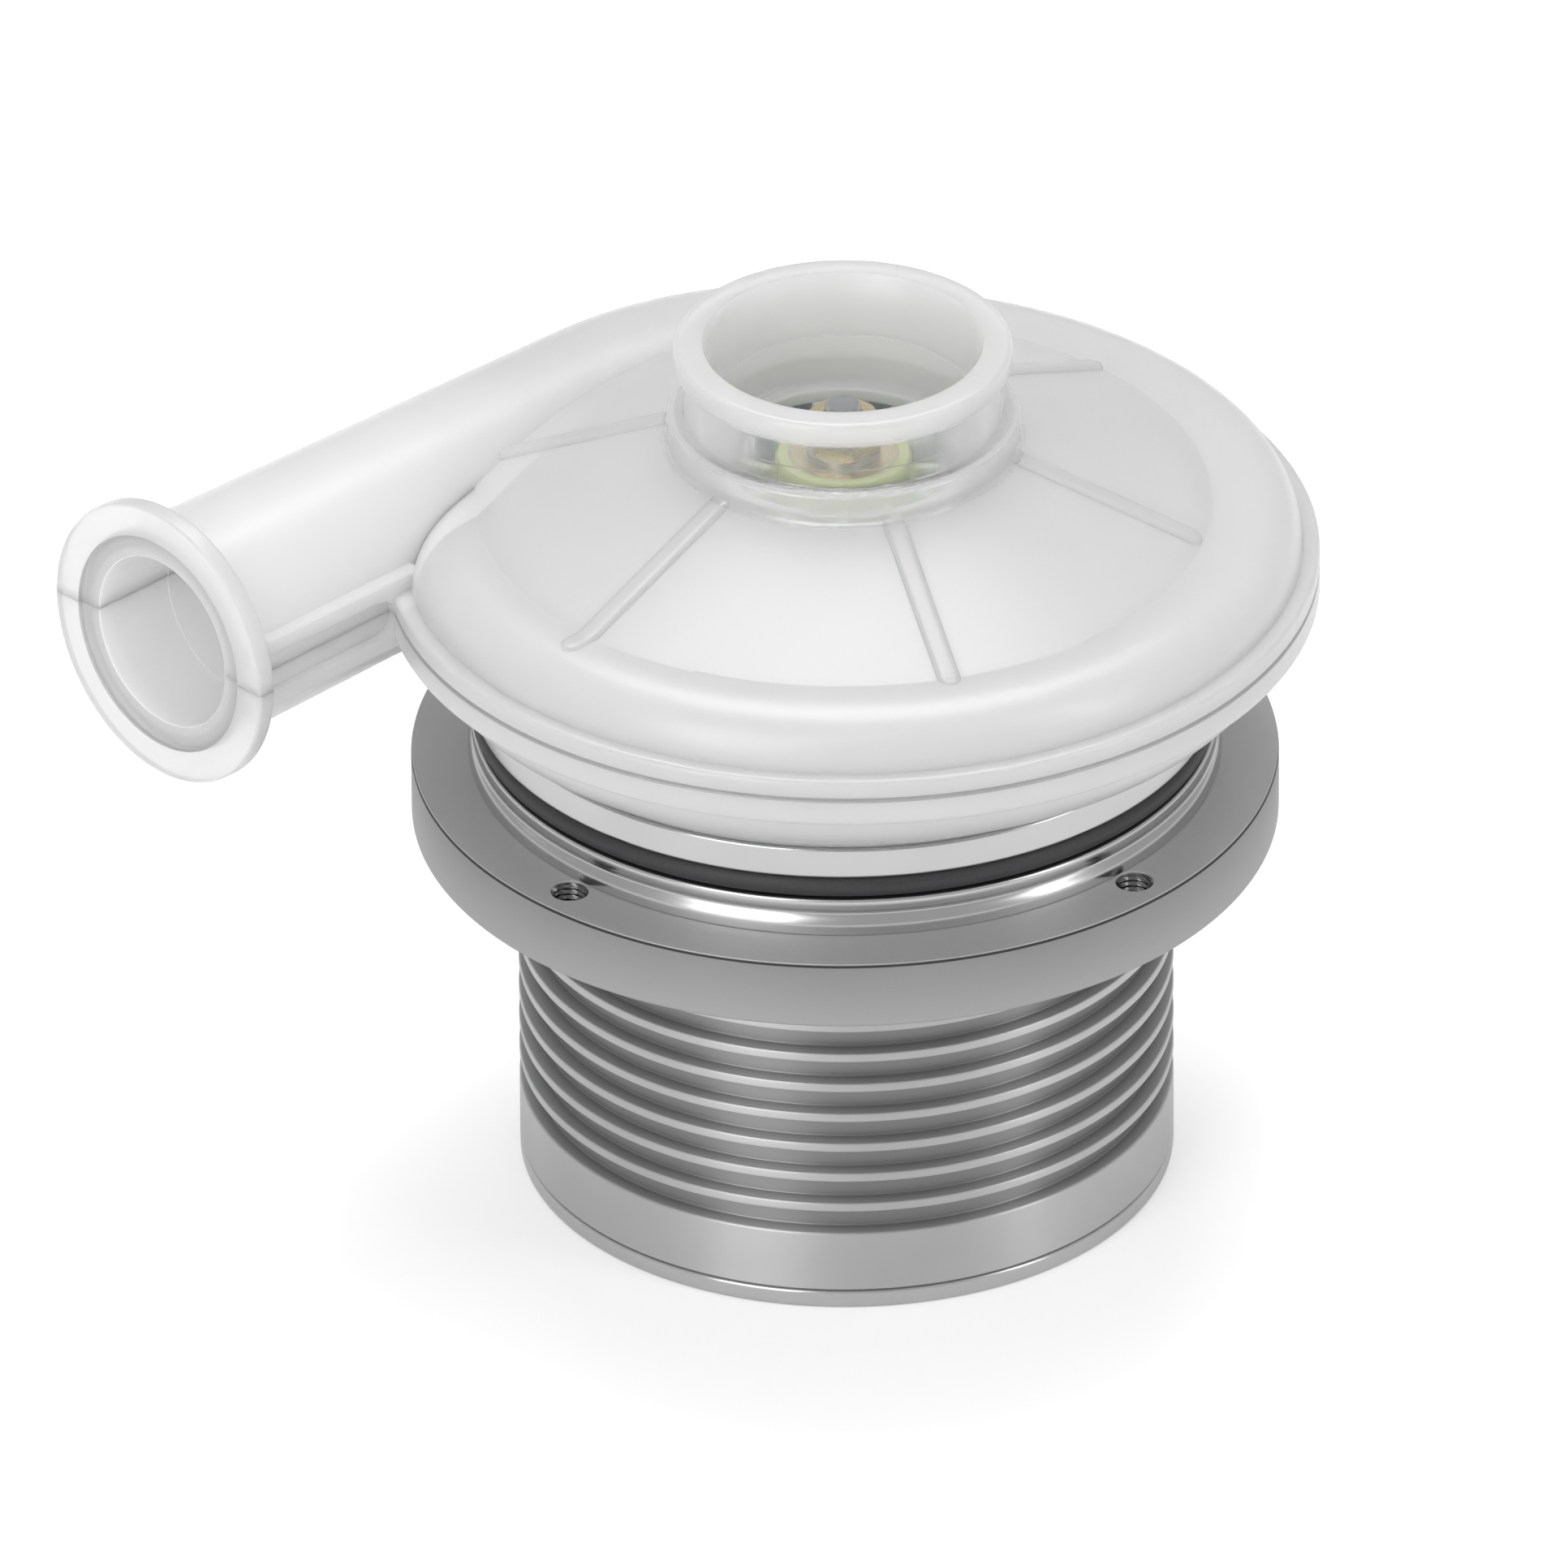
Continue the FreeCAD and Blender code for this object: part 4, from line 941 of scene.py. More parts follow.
neck_outline = rounded(
    [
        (bearing_seat, boss_bottom),
        (boss_radius, boss_bottom),
        (boss_radius, flange_top + neck_relief_depth),
        (neck_spigot - spigot_wall, flange_top + neck_relief_depth),
        (neck_spigot - spigot_wall, flange_top - neck_spigot_depth),
        (neck_spigot, flange_top - neck_spigot_depth),
        (neck_spigot, flange_top),
        (neck_foot_radius, flange_top),
        (neck_foot_radius, foot_top),
        (neck_radius - edge_break, bead_top - edge_break),
        (neck_radius, bead_top + edge_break),
        (neck_radius, seal_middle - seal_radius),
        (groove_floor, seal_middle - seal_radius),
        (groove_floor, seal_middle + seal_radius),
        (neck_radius, seal_middle + seal_radius),
        (neck_radius, neck_top),
        (neck_bore, neck_top),
        (neck_bore, bearing_lip_top),
        (bearing_lip_bore, bearing_lip_top),
        (bearing_lip_bore, bearing_seat_top),
        (bearing_seat, bearing_seat_top),
    ],
    [0.2, 0.2, 0.2, 0.2, 0.2, 0.2, 0.1, 0.1, 0.5, 0.4, 0.3]
    + [0.3, 0, 0, 0.3, 0.3, 0.2, 0.1, 0.1, 0.1, 0.1],
)
barrel_screw_circle = 22.5
barrel_screw_radius = 1.25
head_room_radius = 2.45
head_room_depth = 2.7
barrel_screw_length = 12.0
volute_screw_length = 4.6
head_room_bottom = neck_top - head_room_depth
barrel_screw_bottom = head_room_bottom - barrel_screw_length
tapped_bottom = floor_top - screw_head_height - volute_screw_length
cable_angle = 45.0
head_room = [
    (0, barrel_screw_bottom),
    (barrel_screw_radius, barrel_screw_bottom),
    (barrel_screw_radius, head_room_bottom),
    (head_room_radius, head_room_bottom),
    (head_room_radius, neck_top + overcut),
    (0, neck_top + overcut),
]
tapped = [
    (0, tapped_bottom),
    (screw_shank_radius, tapped_bottom),
    (screw_shank_radius, neck_top + overcut),
    (0, neck_top + overcut),
]
neck = turned("turned_neck", neck_outline, fine_turn_steps)
neck_holes = [
    drill("head rooms", head_room, barrel_screw_circle, evenly(screw_count, cable_angle)),
    drill("tapped holes", tapped, screw_circle, evenly(screw_count)),
]
neck = sealed(combined(neck, neck_holes, "DIFFERENCE"))
dressed(neck, "neck_plate", neck_finish)

# A circle: the ring's middle plus its radius times the cosine, its height plus the radius times the sine
ring_turn = np.linspace(0, 2 * np.pi, 32, endpoint=False)
ring_middle = seal_high[0] - seal_radius
ring_outline = np.c_[
    ring_middle + seal_radius * np.cos(ring_turn), seal_middle + seal_radius * np.sin(ring_turn)
]
seal = turned("rubber_ring", ring_outline, fine_turn_steps)
dressed(seal, "neck_oring", rubber_finish)

# %% [markdown]
# ## The flange
# Common name: aluminium, machined, bead blasted and clear anodised. The blasting leaves tiny dents that
# spread a reflection into an even silver grey. The four holes are tapped: their thread is one surface whose
# radius depends on the height and the angle, a zigzag that climbs one pitch a turn.

# %% Blasted and cut aluminium
def blasted_aluminium_painted_light_and_shade():
    """The side's colour is painted light and shade: darker at the top edge and lighter towards the lower
    edge, a painted reflection of the floor. The top face is painted lighter.
    """
    finish, where = new_finish("blasted_anodised_aluminium_painted_light_and_shade")
    height = radius_and_height(finish, where)[1]
    # Painted light and shade on the side: darker at the top edge, lighter towards the lower edge
    down = add(finish, "ShaderNodeMapRange", {0: height, 1: flange_top * MM, 2: flange_bottom * MM})
    shades = {0: down, 6: linear("#8A8A8A"), 7: linear("#A8A8A8")}
    side = add(finish, "ShaderNodeMix", shades, 2, data_type="RGBA")
    # Painted light: the top face is lighter than the side
    top_painted_lighter = add(finish, "ShaderNodeMapRange", {0: height, 1: (flange_top - 0.1) * MM, 2: flange_top * MM})
    shades = {0: top_painted_lighter, 6: side, 7: linear("#CECECE")}
    silver = add(finish, "ShaderNodeMix", shades, 2, data_type="RGBA")
    clouds = add(finish, "ShaderNodeTexNoise", {"Vector": where, "Scale": per_metre(14.0)})
    soft = add(finish, "ShaderNodeMapRange", {0: clouds, 4: 0.3})
    dents = add(finish, "ShaderNodeTexNoise", {"Vector": where, "Scale": per_metre(0.12)})
    return surfaced(finish, soft, (silver, "#B4B4B4"), dents, (0.5, 0.6), 0.002, Metallic=0.75)


def cut_aluminium():
    """A thread cut after blasting. Its colour is painted shade: darker than the flange, and darker on the
    side of each hole towards the blower's axis.
    """
    finish, where = new_finish("cut_aluminium_painted_shade")
    along = add(finish, "ShaderNodeVectorMath", {0: where, 1: (1, 1, 0)}, operation="MULTIPLY")
    radius_for_painted_shade = add(finish, "ShaderNodeVectorMath", {0: along}, "Value", operation="LENGTH")
    stain = add(finish, "ShaderNodeTexNoise", {"Vector": where, "Scale": per_metre(0.3)})
    # Painted shade: darker on the side of each hole towards the blower's axis, lighter on its outer side
    span = {0: radius_for_painted_shade, 1: (bolt_circle - 2) * MM, 2: (bolt_circle + 2) * MM}
    side = add(finish, "ShaderNodeMapRange", span)
    return surfaced(finish, side, ("#686868", "#8C8C8C"), stain, (0.15, 0.3), 0.004, Metallic=1.0)


flange_finish = blasted_aluminium_painted_light_and_shade()
thread_painted_shade_finish = cut_aluminium()
print("finishes:", flange_finish.name, thread_painted_shade_finish.name)

# %% Tapped flange
bolt_count = 4
thread_pitch = 0.5
thread_depth = 0.22
thread_steps = 48
thread_mouth = 0.35


def tap_grid(bottom, top, mouth):
    """Grid of a thread cutter: radius plus a zigzag of the height less the angle's share of a pitch."""
    height = np.arange(bottom - 0.6, top + 0.61, thread_pitch / 10)[:, None]
    turn = np.linspace(0, 2 * np.pi, thread_steps, endpoint=False)[None]
    phase = (height / thread_pitch - turn / (2 * np.pi)) % 1.0
    zigzag = 1 - np.abs(2 * phase - 1)
    chamfer = bolt_hole_radius + mouth - np.minimum(height - bottom, top - height)
    radius = np.maximum(bolt_hole_radius + thread_depth * zigzag, chamfer)
    level = np.broadcast_to(height, radius.shape)
    return capped(np.stack([radius * np.cos(turn), radius * np.sin(turn), level], axis=-1))


spigot_radius = 24.6
fit_gap = 0.02
relief_start = 25.2
relief_end = 26.9
relief_depth = 0.4
edge_line_below = 0.1
edge_line_width = 0.22
edge_line_depth = 0.35
flange_outline = rounded(
    [
        (spigot_radius + fit_gap, flange_bottom),
        (relief_start, flange_bottom),
        (relief_start, flange_bottom + relief_depth),
        (relief_end, flange_bottom + relief_depth),
        (relief_end, flange_bottom),
        (flange_radius, flange_bottom),
        (flange_radius, flange_top - edge_line_below - edge_line_width),
        (flange_radius - edge_line_depth, flange_top - edge_line_below - edge_line_width),
        (flange_radius - edge_line_depth, flange_top - edge_line_below),
        (flange_radius - edge_line_below / 2, flange_top - edge_line_below),
        (flange_radius - edge_line_below, flange_top),
        (spigot_radius + fit_gap, flange_top),
    ],
    [0, 0.05, 0.05, 0.05, 0.1, 0.3, 0.03, 0.02, 0.02, 0.02, 0.04, 0],
)
flange = turned("flange_ring", flange_outline, fine_turn_steps)
tap = tap_grid(flange_bottom, flange_top, thread_mouth) + np.array([bolt_circle, 0, 0])
taps = solid("taps", copied_around(tap, evenly(bolt_count, clock_angle)))
flange = sealed(combined(flange, [taps], "DIFFERENCE"))
dressed(flange, "mounting_flange", flange_finish)

hole_angle = np.radians(evenly(bolt_count, clock_angle))


def in_thread(x, y, z):
    """True near one of the four holes' axes and below the top face."""
    hole_x, hole_y = bolt_circle * np.cos(hole_angle), bolt_circle * np.sin(hole_angle)
    aside = np.hypot(x - hole_x[:, None], y - hole_y[:, None])
    return (aside.min(axis=0) < bolt_hole_radius + thread_depth + 0.05) & (z < flange_top - 0.1)


# The thread's faces get painted shade
finish_faces(flange, {thread_painted_shade_finish: in_thread})

# %% [markdown]
# ## The barrel and its cap
# Common name: aluminium, turned. The tool leaves fine rings round the metal, and such rings spread a
# reflection along the axis: lamps become tall soft streaks. The shader does that with anisotropy, whose
# direction is the cross product of the axis and the place on the surface, turned by a quarter. The floors of
# the cooling grooves are painted darker than the rims: painted shade.

# %% Turned aluminium
groove_floor_radius = 25.2


def turned_aluminium(name, roughness):
    """Metal with fine turned rings, whose groove floors are painted darker than its rims: painted shade."""
    finish, where = new_finish(name)
    radius, _ = radius_and_height(finish, where)
    # Painted shade: the colour darkens from the rims in to the groove floors
    span = {0: radius, 1: (groove_floor_radius + 0.1) * MM, 2: (barrel_radius - 0.3) * MM}
    rim = add(finish, "ShaderNodeMapRange", span)
    haze = add(finish, "ShaderNodeTexNoise", {"Vector": where, "Scale": per_metre(8.0)})
    shades = {0: haze, 6: linear("#C4C4C4"), 7: linear("#D2D2D2")}
    silver = add(finish, "ShaderNodeMix", shades, 2, data_type="RGBA")
    lines = lathe_lines(finish, where, 0.15)
    turning = {0: (0, 0, 1), 1: where}
    round_about = add(finish, "ShaderNodeVectorMath", turning, operation="CROSS_PRODUCT")
    shine = {"Metallic": 0.9, "Anisotropic": 0.85, "Anisotropic_Rotation": 0.25, "Tangent": round_about}
    return surfaced(finish, rim, ("#A0A0A0", silver), lines, roughness, 0.001, **shine)


barrel_finish = turned_aluminium("turned_aluminium", (0.38, 0.5))
cap_finish = turned_aluminium("fine_turned_aluminium", (0.2, 0.28))
print("finishes:", barrel_finish.name, cap_finish.name)

# %% [markdown]
# The barrel's outline has four corners for every fin, so it is stacked from one fin instead of being written
# out. A fine line at its foot is the joint to the cap. The cable leaves through one hole at the back.

# %% Finned barrel
fin_pitch = 2.8
fin_thickness = 0.8
fin_count = 8
fin_round = 0.16
cap_thickness = barrel_low[2]
fins_bottom = flange_bottom - fin_count * fin_pitch - (fin_pitch - fin_thickness)
barrel_bore = 22.0
barrel_throat = 20.4
core_top = 25.6
cap_line_width = 0.2
cap_line_depth = 0.4


def barrel_outline():
    """Closed outline of the barrel: four corners for every fin, stacked at the fins' pitch."""
    first = fins_bottom + fin_pitch - fin_thickness
    fin = np.array(
        [
            (groove_floor_radius, 0),
            (barrel_radius, 0),
            (barrel_radius, fin_thickness),
            (groove_floor_radius, fin_thickness),
        ]
    )
    lift = np.array([0, 1]) * (first + fin_pitch * np.arange(fin_count))[:, None, None]
    fins = (fin[None] + lift).reshape(-1, 2)
    step = barrel_radius - cap_line_depth
    foot = [(barrel_bore, cap_thickness), (step, cap_thickness), (step, cap_thickness + cap_line_width)]
    foot += [(barrel_radius, cap_thickness + cap_line_width)]
    foot += [(barrel_radius, fins_bottom), (groove_floor_radius, fins_bottom)]
    head = [(groove_floor_radius, flange_bottom), (spigot_radius, flange_bottom), (spigot_radius, flange_top)]
    head += [(barrel_throat, flange_top), (barrel_throat, core_top), (barrel_bore, core_top)]
    radii = [0.15, 0.02, 0.02, 0.08, 0.25, 0.15] + [0.12, fin_round, fin_round, 0.12] * fin_count + [0.1] * 6
    return rounded(np.concatenate([foot, fins, head]), radii)


cap_screw_circle = 24.1
cap_screw_radius = 1.0
cap_screw_head_radius = 1.85
cap_screw_head_height = 1.1
cap_screw_length = 4.4
cable_height = 4.35
cable_hole_radius = 2.0
cap_screw_hole = [
    (0, -overcut),
    (cap_screw_head_radius, -overcut),
    (cap_screw_head_radius, 0),
    (cap_screw_radius, cap_screw_head_height),
    (cap_screw_radius, cap_screw_head_height + cap_screw_length),
    (0, cap_screw_head_height + cap_screw_length),
]


def cable_drill(name, radius, start, end):
    """A drill along the direction of the cable, through the foot of the barrel."""
    rod = facing_x(turned_grid([(0, start), (radius, start), (radius, end), (0, end)], 48))
    return solid(name, copied_around(rod + np.array([0, 0, cable_height]), cable_angle))


barrel = turned("finned_barrel", barrel_outline(), fine_turn_steps)
barrel_holes = [
    drill("barrel screws", head_room, barrel_screw_circle, evenly(screw_count, cable_angle)),
    drill("cap screws", cap_screw_hole, cap_screw_circle, evenly(screw_count)),
    cable_drill("cable hole", cable_hole_radius, barrel_bore - overcut, barrel_radius + overcut),
]
barrel = sealed(combined(barrel, barrel_holes, "DIFFERENCE"))
dressed(barrel, "finned_housing", barrel_finish)

# %% [markdown]
# The cap closes the barrel from below. Its skirt reaches up inside the barrel and carries the circuit board
# on a ledge, and the boss in its middle holds the rear bearing.

# %% Base cap
cap_rim_round = 0.55
cable_way_radius = 2.8
skirt_radius = 21.98
skirt_bore = 19.73
ledge_bore = 20.53
board_bottom = cap_thickness + 3.8
skirt_top = cap_high[2]
rear_seat_top = 8.2
cap_outline = rounded(
    [
        (0, 0),
        (barrel_radius, 0),
        (barrel_radius, cap_thickness),
        (skirt_radius, cap_thickness),
        (skirt_radius, skirt_top),
        (ledge_bore, skirt_top),
        (ledge_bore, board_bottom),
        (skirt_bore, board_bottom),
        (skirt_bore, cap_thickness),
        (boss_radius, cap_thickness),
        (boss_radius, rear_seat_top),
        (bearing_seat, rear_seat_top),
        (bearing_seat, cap_thickness),
        (0, cap_thickness),
    ],
    [0, cap_rim_round, 0.3, 0.1, 0.15, 0.15, 0.1, 0.1, 0.2, 0.2, 0.15, 0.15, 0.1, 0],
)
cap = turned("base_cap_turned", cap_outline, fine_turn_steps)
cap_holes = [
    drill("cap screw holes", cap_screw_hole, cap_screw_circle, evenly(screw_count)),
    cable_drill("cable way", cable_way_radius, skirt_bore - overcut, skirt_radius + overcut),
]
cap = sealed(combined(cap, cap_holes, "DIFFERENCE"))
dressed(cap, "base_cap", cap_finish)

# %% [markdown]
# ## The wheel
# Common name: glass filled polyamide, moulded, with a slight green tint. The hub sweeps up from a flat back
# plate in one arc, and eleven blades lean back against the turn. A blade is a grid too: outwards the angle
# falls back evenly, and the section goes up one side, over a rounded top that stays clear of the cone, and
# down the other.

# %% Wheel's finish
hub_tint_from = 8.5
hub_tint_full = 5.5


def tinted_polyamide():
    """Milky plastic, cool white at the blades and yellow green round the hub, where the wall is thick."""
    finish, where = new_finish("moulded_tinted_polyamide")
    run = {"Vector": where, "Scale": per_metre(6.0), "Distortion": 0.6}
    flow = add(finish, "ShaderNodeTexNoise", run)
    grain = add(finish, "ShaderNodeTexNoise", {"Vector": where, "Scale": per_metre(0.3)})
    radius, _ = radius_and_height(finish, where)
    near = add(finish, "ShaderNodeMapRange", {0: radius, 1: hub_tint_from * MM, 2: hub_tint_full * MM})
    shades = {0: near, 6: linear("#F0FAF9"), 7: linear("#CBD68C")}
    tint = add(finish, "ShaderNodeMix", shades, 2, data_type="RGBA")
    soft = add(finish, "ShaderNodeMapRange", {0: flow, 4: 0.2})
    milk = {"Subsurface_Weight": 0.6, "Subsurface_Scale": 1.5 * MM, "Subsurface_Radius": (1, 1, 1)}
    shine = {"IOR": 1.53, "Transmission_Weight": 0.2, "Coat_Weight": 0.1, **milk}
    return surfaced(finish, soft, (tint, "#F2F8F5"), grain, (0.24, 0.36), 0.003, **shine)


wheel_finish = tinted_polyamide()
print("finish:", wheel_finish.name)

# %% Hub
wheel_radius = wheel_high[0]
wheel_bottom = wheel_low[2]
wheel_plate = 1.3
hub_top = wheel_high[2]
hub_bore = 4.42
hub_top_radius = 5.4
hub_curve_in = 0.68
hub_curve_up = 0.3
wheel_edge = 0.15
plate_top = wheel_bottom + wheel_plate


def arc_through(first, second, third, steps):
    """Points of the circle's arc that starts at the first point, passes the second and ends at the third.

    The centre is equally far from all three. So for two of them, twice the step between them times the
    centre is the difference of their squared distances from the origin, and two such lines give the centre.
    """
    a, b, c = (np.array(p, float) for p in (first, second, third))
    normal = 2 * np.array([b - a, c - a])
    centre = np.linalg.solve(normal, np.array([b @ b - a @ a, c @ c - a @ a]))
    turn = np.unwrap([np.arctan2(*(p - centre)[::-1]) for p in (a, b, c)])
    angle = np.linspace(turn[0], turn[2], steps)
    return centre + np.linalg.norm(a - centre) * np.c_[np.cos(angle), np.sin(angle)]


arc_middle = (
    wheel_radius - (wheel_radius - hub_top_radius) * hub_curve_in,
    plate_top + (hub_top - plate_top) * hub_curve_up,
)
hub_arc = arc_through((wheel_radius - 0.1, plate_top), arc_middle, (hub_top_radius, hub_top - wheel_edge), 40)
hub_outline = np.concatenate(
    [
        [(hub_bore, wheel_bottom), (wheel_radius - wheel_edge, wheel_bottom)],
        [(wheel_radius, wheel_bottom + wheel_edge), (wheel_radius, plate_top - 0.1)],
        hub_arc,
        [(hub_top_radius - wheel_edge, hub_top), (hub_bore, hub_top)],
    ]
)
print("hub from", round(wheel_bottom, 2), "to", round(hub_top, 2), "mm")

# %% Blades
blade_count = 11
blade_thickness = 0.9
blade_sweep = 48.0
blade_root_radius = 5.0
blade_run_past = 1.0
blade_top_round = 0.3
blade_top_power = 0.6
running_gap = 0.6


def blade_grid():
    """One blade: its angle falls evenly with the radius r, give or take half the thickness over r.

    Over its top the section is a squared arch: across it goes with a power of the cosine, and up with the
    same power of the sine.
    """
    half = blade_thickness / 2
    radius = np.linspace(blade_root_radius, wheel_radius - 0.02, 48)[:, None]
    share = (radius - blade_root_radius) / (wheel_radius + blade_run_past - blade_root_radius)
    bottom = wheel_bottom + wheel_plate / 2
    roof = np.minimum(cone_height(radius) - cone_wall, eye_bottom) - running_gap
    turn = np.linspace(0, np.pi, 9)[None]
    over = half * np.sign(np.cos(turn)) * np.abs(np.cos(turn)) ** blade_top_power
    top = roof - blade_top_round * (1 - np.sin(turn) ** blade_top_power)
    side = np.full_like(radius, half)
    across = np.concatenate([side, over + 0 * radius, -side], axis=1)
    height = np.concatenate([bottom + 0 * radius, top, bottom + 0 * radius], axis=1)
    angle = -np.radians(blade_sweep) * share + across / radius
    return capped(np.stack([radius * np.cos(angle), radius * np.sin(angle), height], axis=-1))


hub = turned("moulded_wheel", hub_outline)
blades = solid("blades", copied_around(blade_grid(), evenly(blade_count)))
wheel = sealed(combined(hub, [blades], "UNION"))
dressed(wheel, "impeller", wheel_finish, body="rotor")

# %% [markdown]
# ## The nut
# Common name: brass, turned from hexagon bar. It holds the wheel on the shaft. The bar's corners are slightly
# rounded, and both faces are chamfered, which draws the well known arcs on the flats.

# %% Brass and the nut


def turned_brass():
    """Pale, slightly dull yellow metal with fine rings from the lathe."""
    finish, where = new_finish("turned_brass")
    tarnish = add(finish, "ShaderNodeTexNoise", {"Vector": where, "Scale": per_metre(1.6)})
    lines = lathe_lines(finish, where, 0.1)
    return surfaced(finish, tarnish, ("#BDB08F", "#D2C7A8"), lines, (0.22, 0.34), 0.001, Metallic=1.0)


brass_finish = turned_brass()
nut_flat = 5.5 / 2
nut_reach = nut_flat / np.cos(np.pi / 6)
nut_bottom, nut_top = nut_low[2], nut_high[2]
nut_chamfer = nut_reach - nut_flat + 0.1
nut_hole = 1.52
nut_hole_mouth = 1.72
corner = np.radians(evenly(6))
hexagon = rounded(nut_reach * np.c_[np.cos(corner), np.sin(corner)], 0.12)
level = np.array([nut_bottom, nut_top])[:, None, None]
bar = np.concatenate([hexagon + 0 * level, level + 0 * hexagon[:, :1]], axis=-1)
nut_limit = [
    (0, nut_bottom),
    (nut_reach - nut_chamfer / 2, nut_bottom),
    (nut_reach, nut_bottom + nut_chamfer / 3),
    (nut_reach, nut_top - nut_chamfer * 0.7),
    (nut_flat - 0.1, nut_top),
    (0, nut_top),
]
nut_bore = [
    (0, nut_bottom - overcut),
    (nut_hole, nut_bottom - overcut),
    (nut_hole, nut_top - 0.2),
    (nut_hole_mouth, nut_top),
    (nut_hole_mouth, nut_top + overcut),
    (0, nut_top + overcut),
]
nut = solid("hexagon_nut", capped(bar))
nut = combined(nut, [turned("chamfers", nut_limit, 96)], "INTERSECT")
nut = sealed(combined(nut, [turned("nut bore", nut_bore, 96)], "DIFFERENCE"))
dressed(nut, "impeller_nut", brass_finish, body="rotor")

# %% [markdown]
# ## Finishes of the inner pieces
# The shapes of the other pieces are right as the CAD has them, so they keep their mesh and only get their
# finish. Steel is ground, plated or stamped, the windings are enamelled wire, the board is lacquered.

# %% Steels
def ground_steel(name, colours, roughness, pitch):
    """Bright steel with the fine rings of turning or grinding."""
    finish, where = new_finish(name)
    haze = add(finish, "ShaderNodeTexNoise", {"Vector": where, "Scale": per_metre(3.0)})
    lines = lathe_lines(finish, where, pitch)
    return surfaced(finish, haze, colours, lines, roughness, 0.0008, Metallic=1.0)


def plated_screw_steel():
    """Screws straight from the plating bath: a bluish silver with soft clouds."""
    finish, where = new_finish("zinc_plated_steel")
    clouds = add(finish, "ShaderNodeTexNoise", {"Vector": where, "Scale": per_metre(0.8)})
    return surfaced(finish, clouds, ("#B4B8BC", "#C9CCD0"), clouds, (0.25, 0.38), 0.002, Metallic=1.0)


def stacked_laminations():
    """Thin sheets of silicon steel, 0.35 mm each, stacked along the axis, with a dark seam between them."""
    finish, where = new_finish("stamped_silicon_steel")
    height = radius_and_height(finish, where)[1]
    sheet = add(finish, "ShaderNodeMath", {0: height, 1: per_metre(0.35)}, operation="MULTIPLY")
    share = add(finish, "ShaderNodeMath", {0: sheet}, operation="FRACT")
    seam = add(finish, "ShaderNodeMapRange", {0: share, 1: 0.18, 2: 0.0})
    return surfaced(finish, seam, ("#7F8286", "#3E4044"), seam, (0.36, 0.5), -0.02, Metallic=0.9)


bearing_finish = ground_steel("ground_bearing_steel", ("#B9BBBE", "#CDCFD1"), (0.12, 0.22), 0.06)
shaft_finish = ground_steel("ground_stainless_steel", ("#B2B4B6", "#C6C8CA"), (0.16, 0.28), 0.08)
screw_finish = plated_screw_steel()
lamination_finish = stacked_laminations()
print("steels:", bearing_finish.name, shaft_finish.name, screw_finish.name, lamination_finish.name)

# %% [markdown]
# The other inner finishes tell copper, plastic, fibre and lacquer apart. They show only when the blower is
# taken to pieces, so each has just one pattern at its real size.

# %% Windings, magnet and plastics
def moulded_plastic(name, colours, roughness, grain_size):
    """Plain moulded plastic with the fine grain of its tool."""
    finish, where = new_finish(name)
    flow = add(finish, "ShaderNodeTexNoise", {"Vector": where, "Scale": per_metre(4.0)})
    grain = add(finish, "ShaderNodeTexNoise", {"Vector": where, "Scale": per_metre(grain_size)})
    return surfaced(finish, flow, colours, grain, roughness, 0.004, IOR=1.52)


def enamelled_copper():
    """Copper wire of 0.4 mm under clear enamel. The bands of a Wave texture repeat 20 times a unit."""
    finish, where = new_finish("enamelled_copper_wire")
    run = {"Vector": where, "Scale": per_metre(0.4) / 20, "Distortion": 1.5, "Detail": 1.0}
    wires = add(finish, "ShaderNodeTexWave", run, 1, bands_direction="DIAGONAL")
    shine = {"Metallic": 0.85, "Coat_Weight": 0.5}
    return surfaced(finish, wires, ("#7A3B1C", "#C4743F"), wires, (0.45, 0.25), 0.08, **shine)


def wound_fibre():
    """Carbon fibre band wound round the magnet: fine dark rings of 0.5 mm tape."""
    finish, where = new_finish("wound_carbon_fibre")
    rings = lathe_lines(finish, where, 0.5)
    shine = {"IOR": 1.55, "Coat_Weight": 0.6}
    return surfaced(finish, rings, ("#141517", "#2E3033"), rings, (0.3, 0.45), 0.01, **shine)


def lacquered_board():
    """Glass epoxy with green lacquer over copper tracks, the edges of cells of about 2.2 mm."""
    finish, where = new_finish("lacquered_circuit_board")
    run = {"Vector": where, "Scale": per_metre(2.2)}
    edge = add(finish, "ShaderNodeTexVoronoi", run, feature="DISTANCE_TO_EDGE")
    track = add(finish, "ShaderNodeMapRange", {0: edge, 1: 0.1, 2: 0.06})
    shine = {"IOR": 1.54, "Coat_Weight": 0.4}
    return surfaced(finish, track, ("#0F4A2E", "#1D6B45"), track, (0.38, 0.28), 0.02, **shine)


insulator_finish = moulded_plastic("moulded_white_nylon", ("#D9D5C8", "#E6E2D6"), (0.38, 0.5), 0.3)
cage_finish = moulded_plastic("moulded_brown_polyamide", ("#5C3E22", "#6E4B2A"), (0.35, 0.5), 0.2)
sensor_finish = moulded_plastic("moulded_black_epoxy", ("#18191A", "#242526"), (0.4, 0.55), 0.15)
magnet_finish = ground_steel("nickel_plated_magnet", ("#8E8C86", "#A5A39C"), (0.2, 0.32), 0.1)
wire_finish = enamelled_copper()
sleeve_finish = wound_fibre()
board_finish = lacquered_board()
print("inner finishes:", insulator_finish.name, wire_finish.name, sleeve_finish.name, board_finish.name)

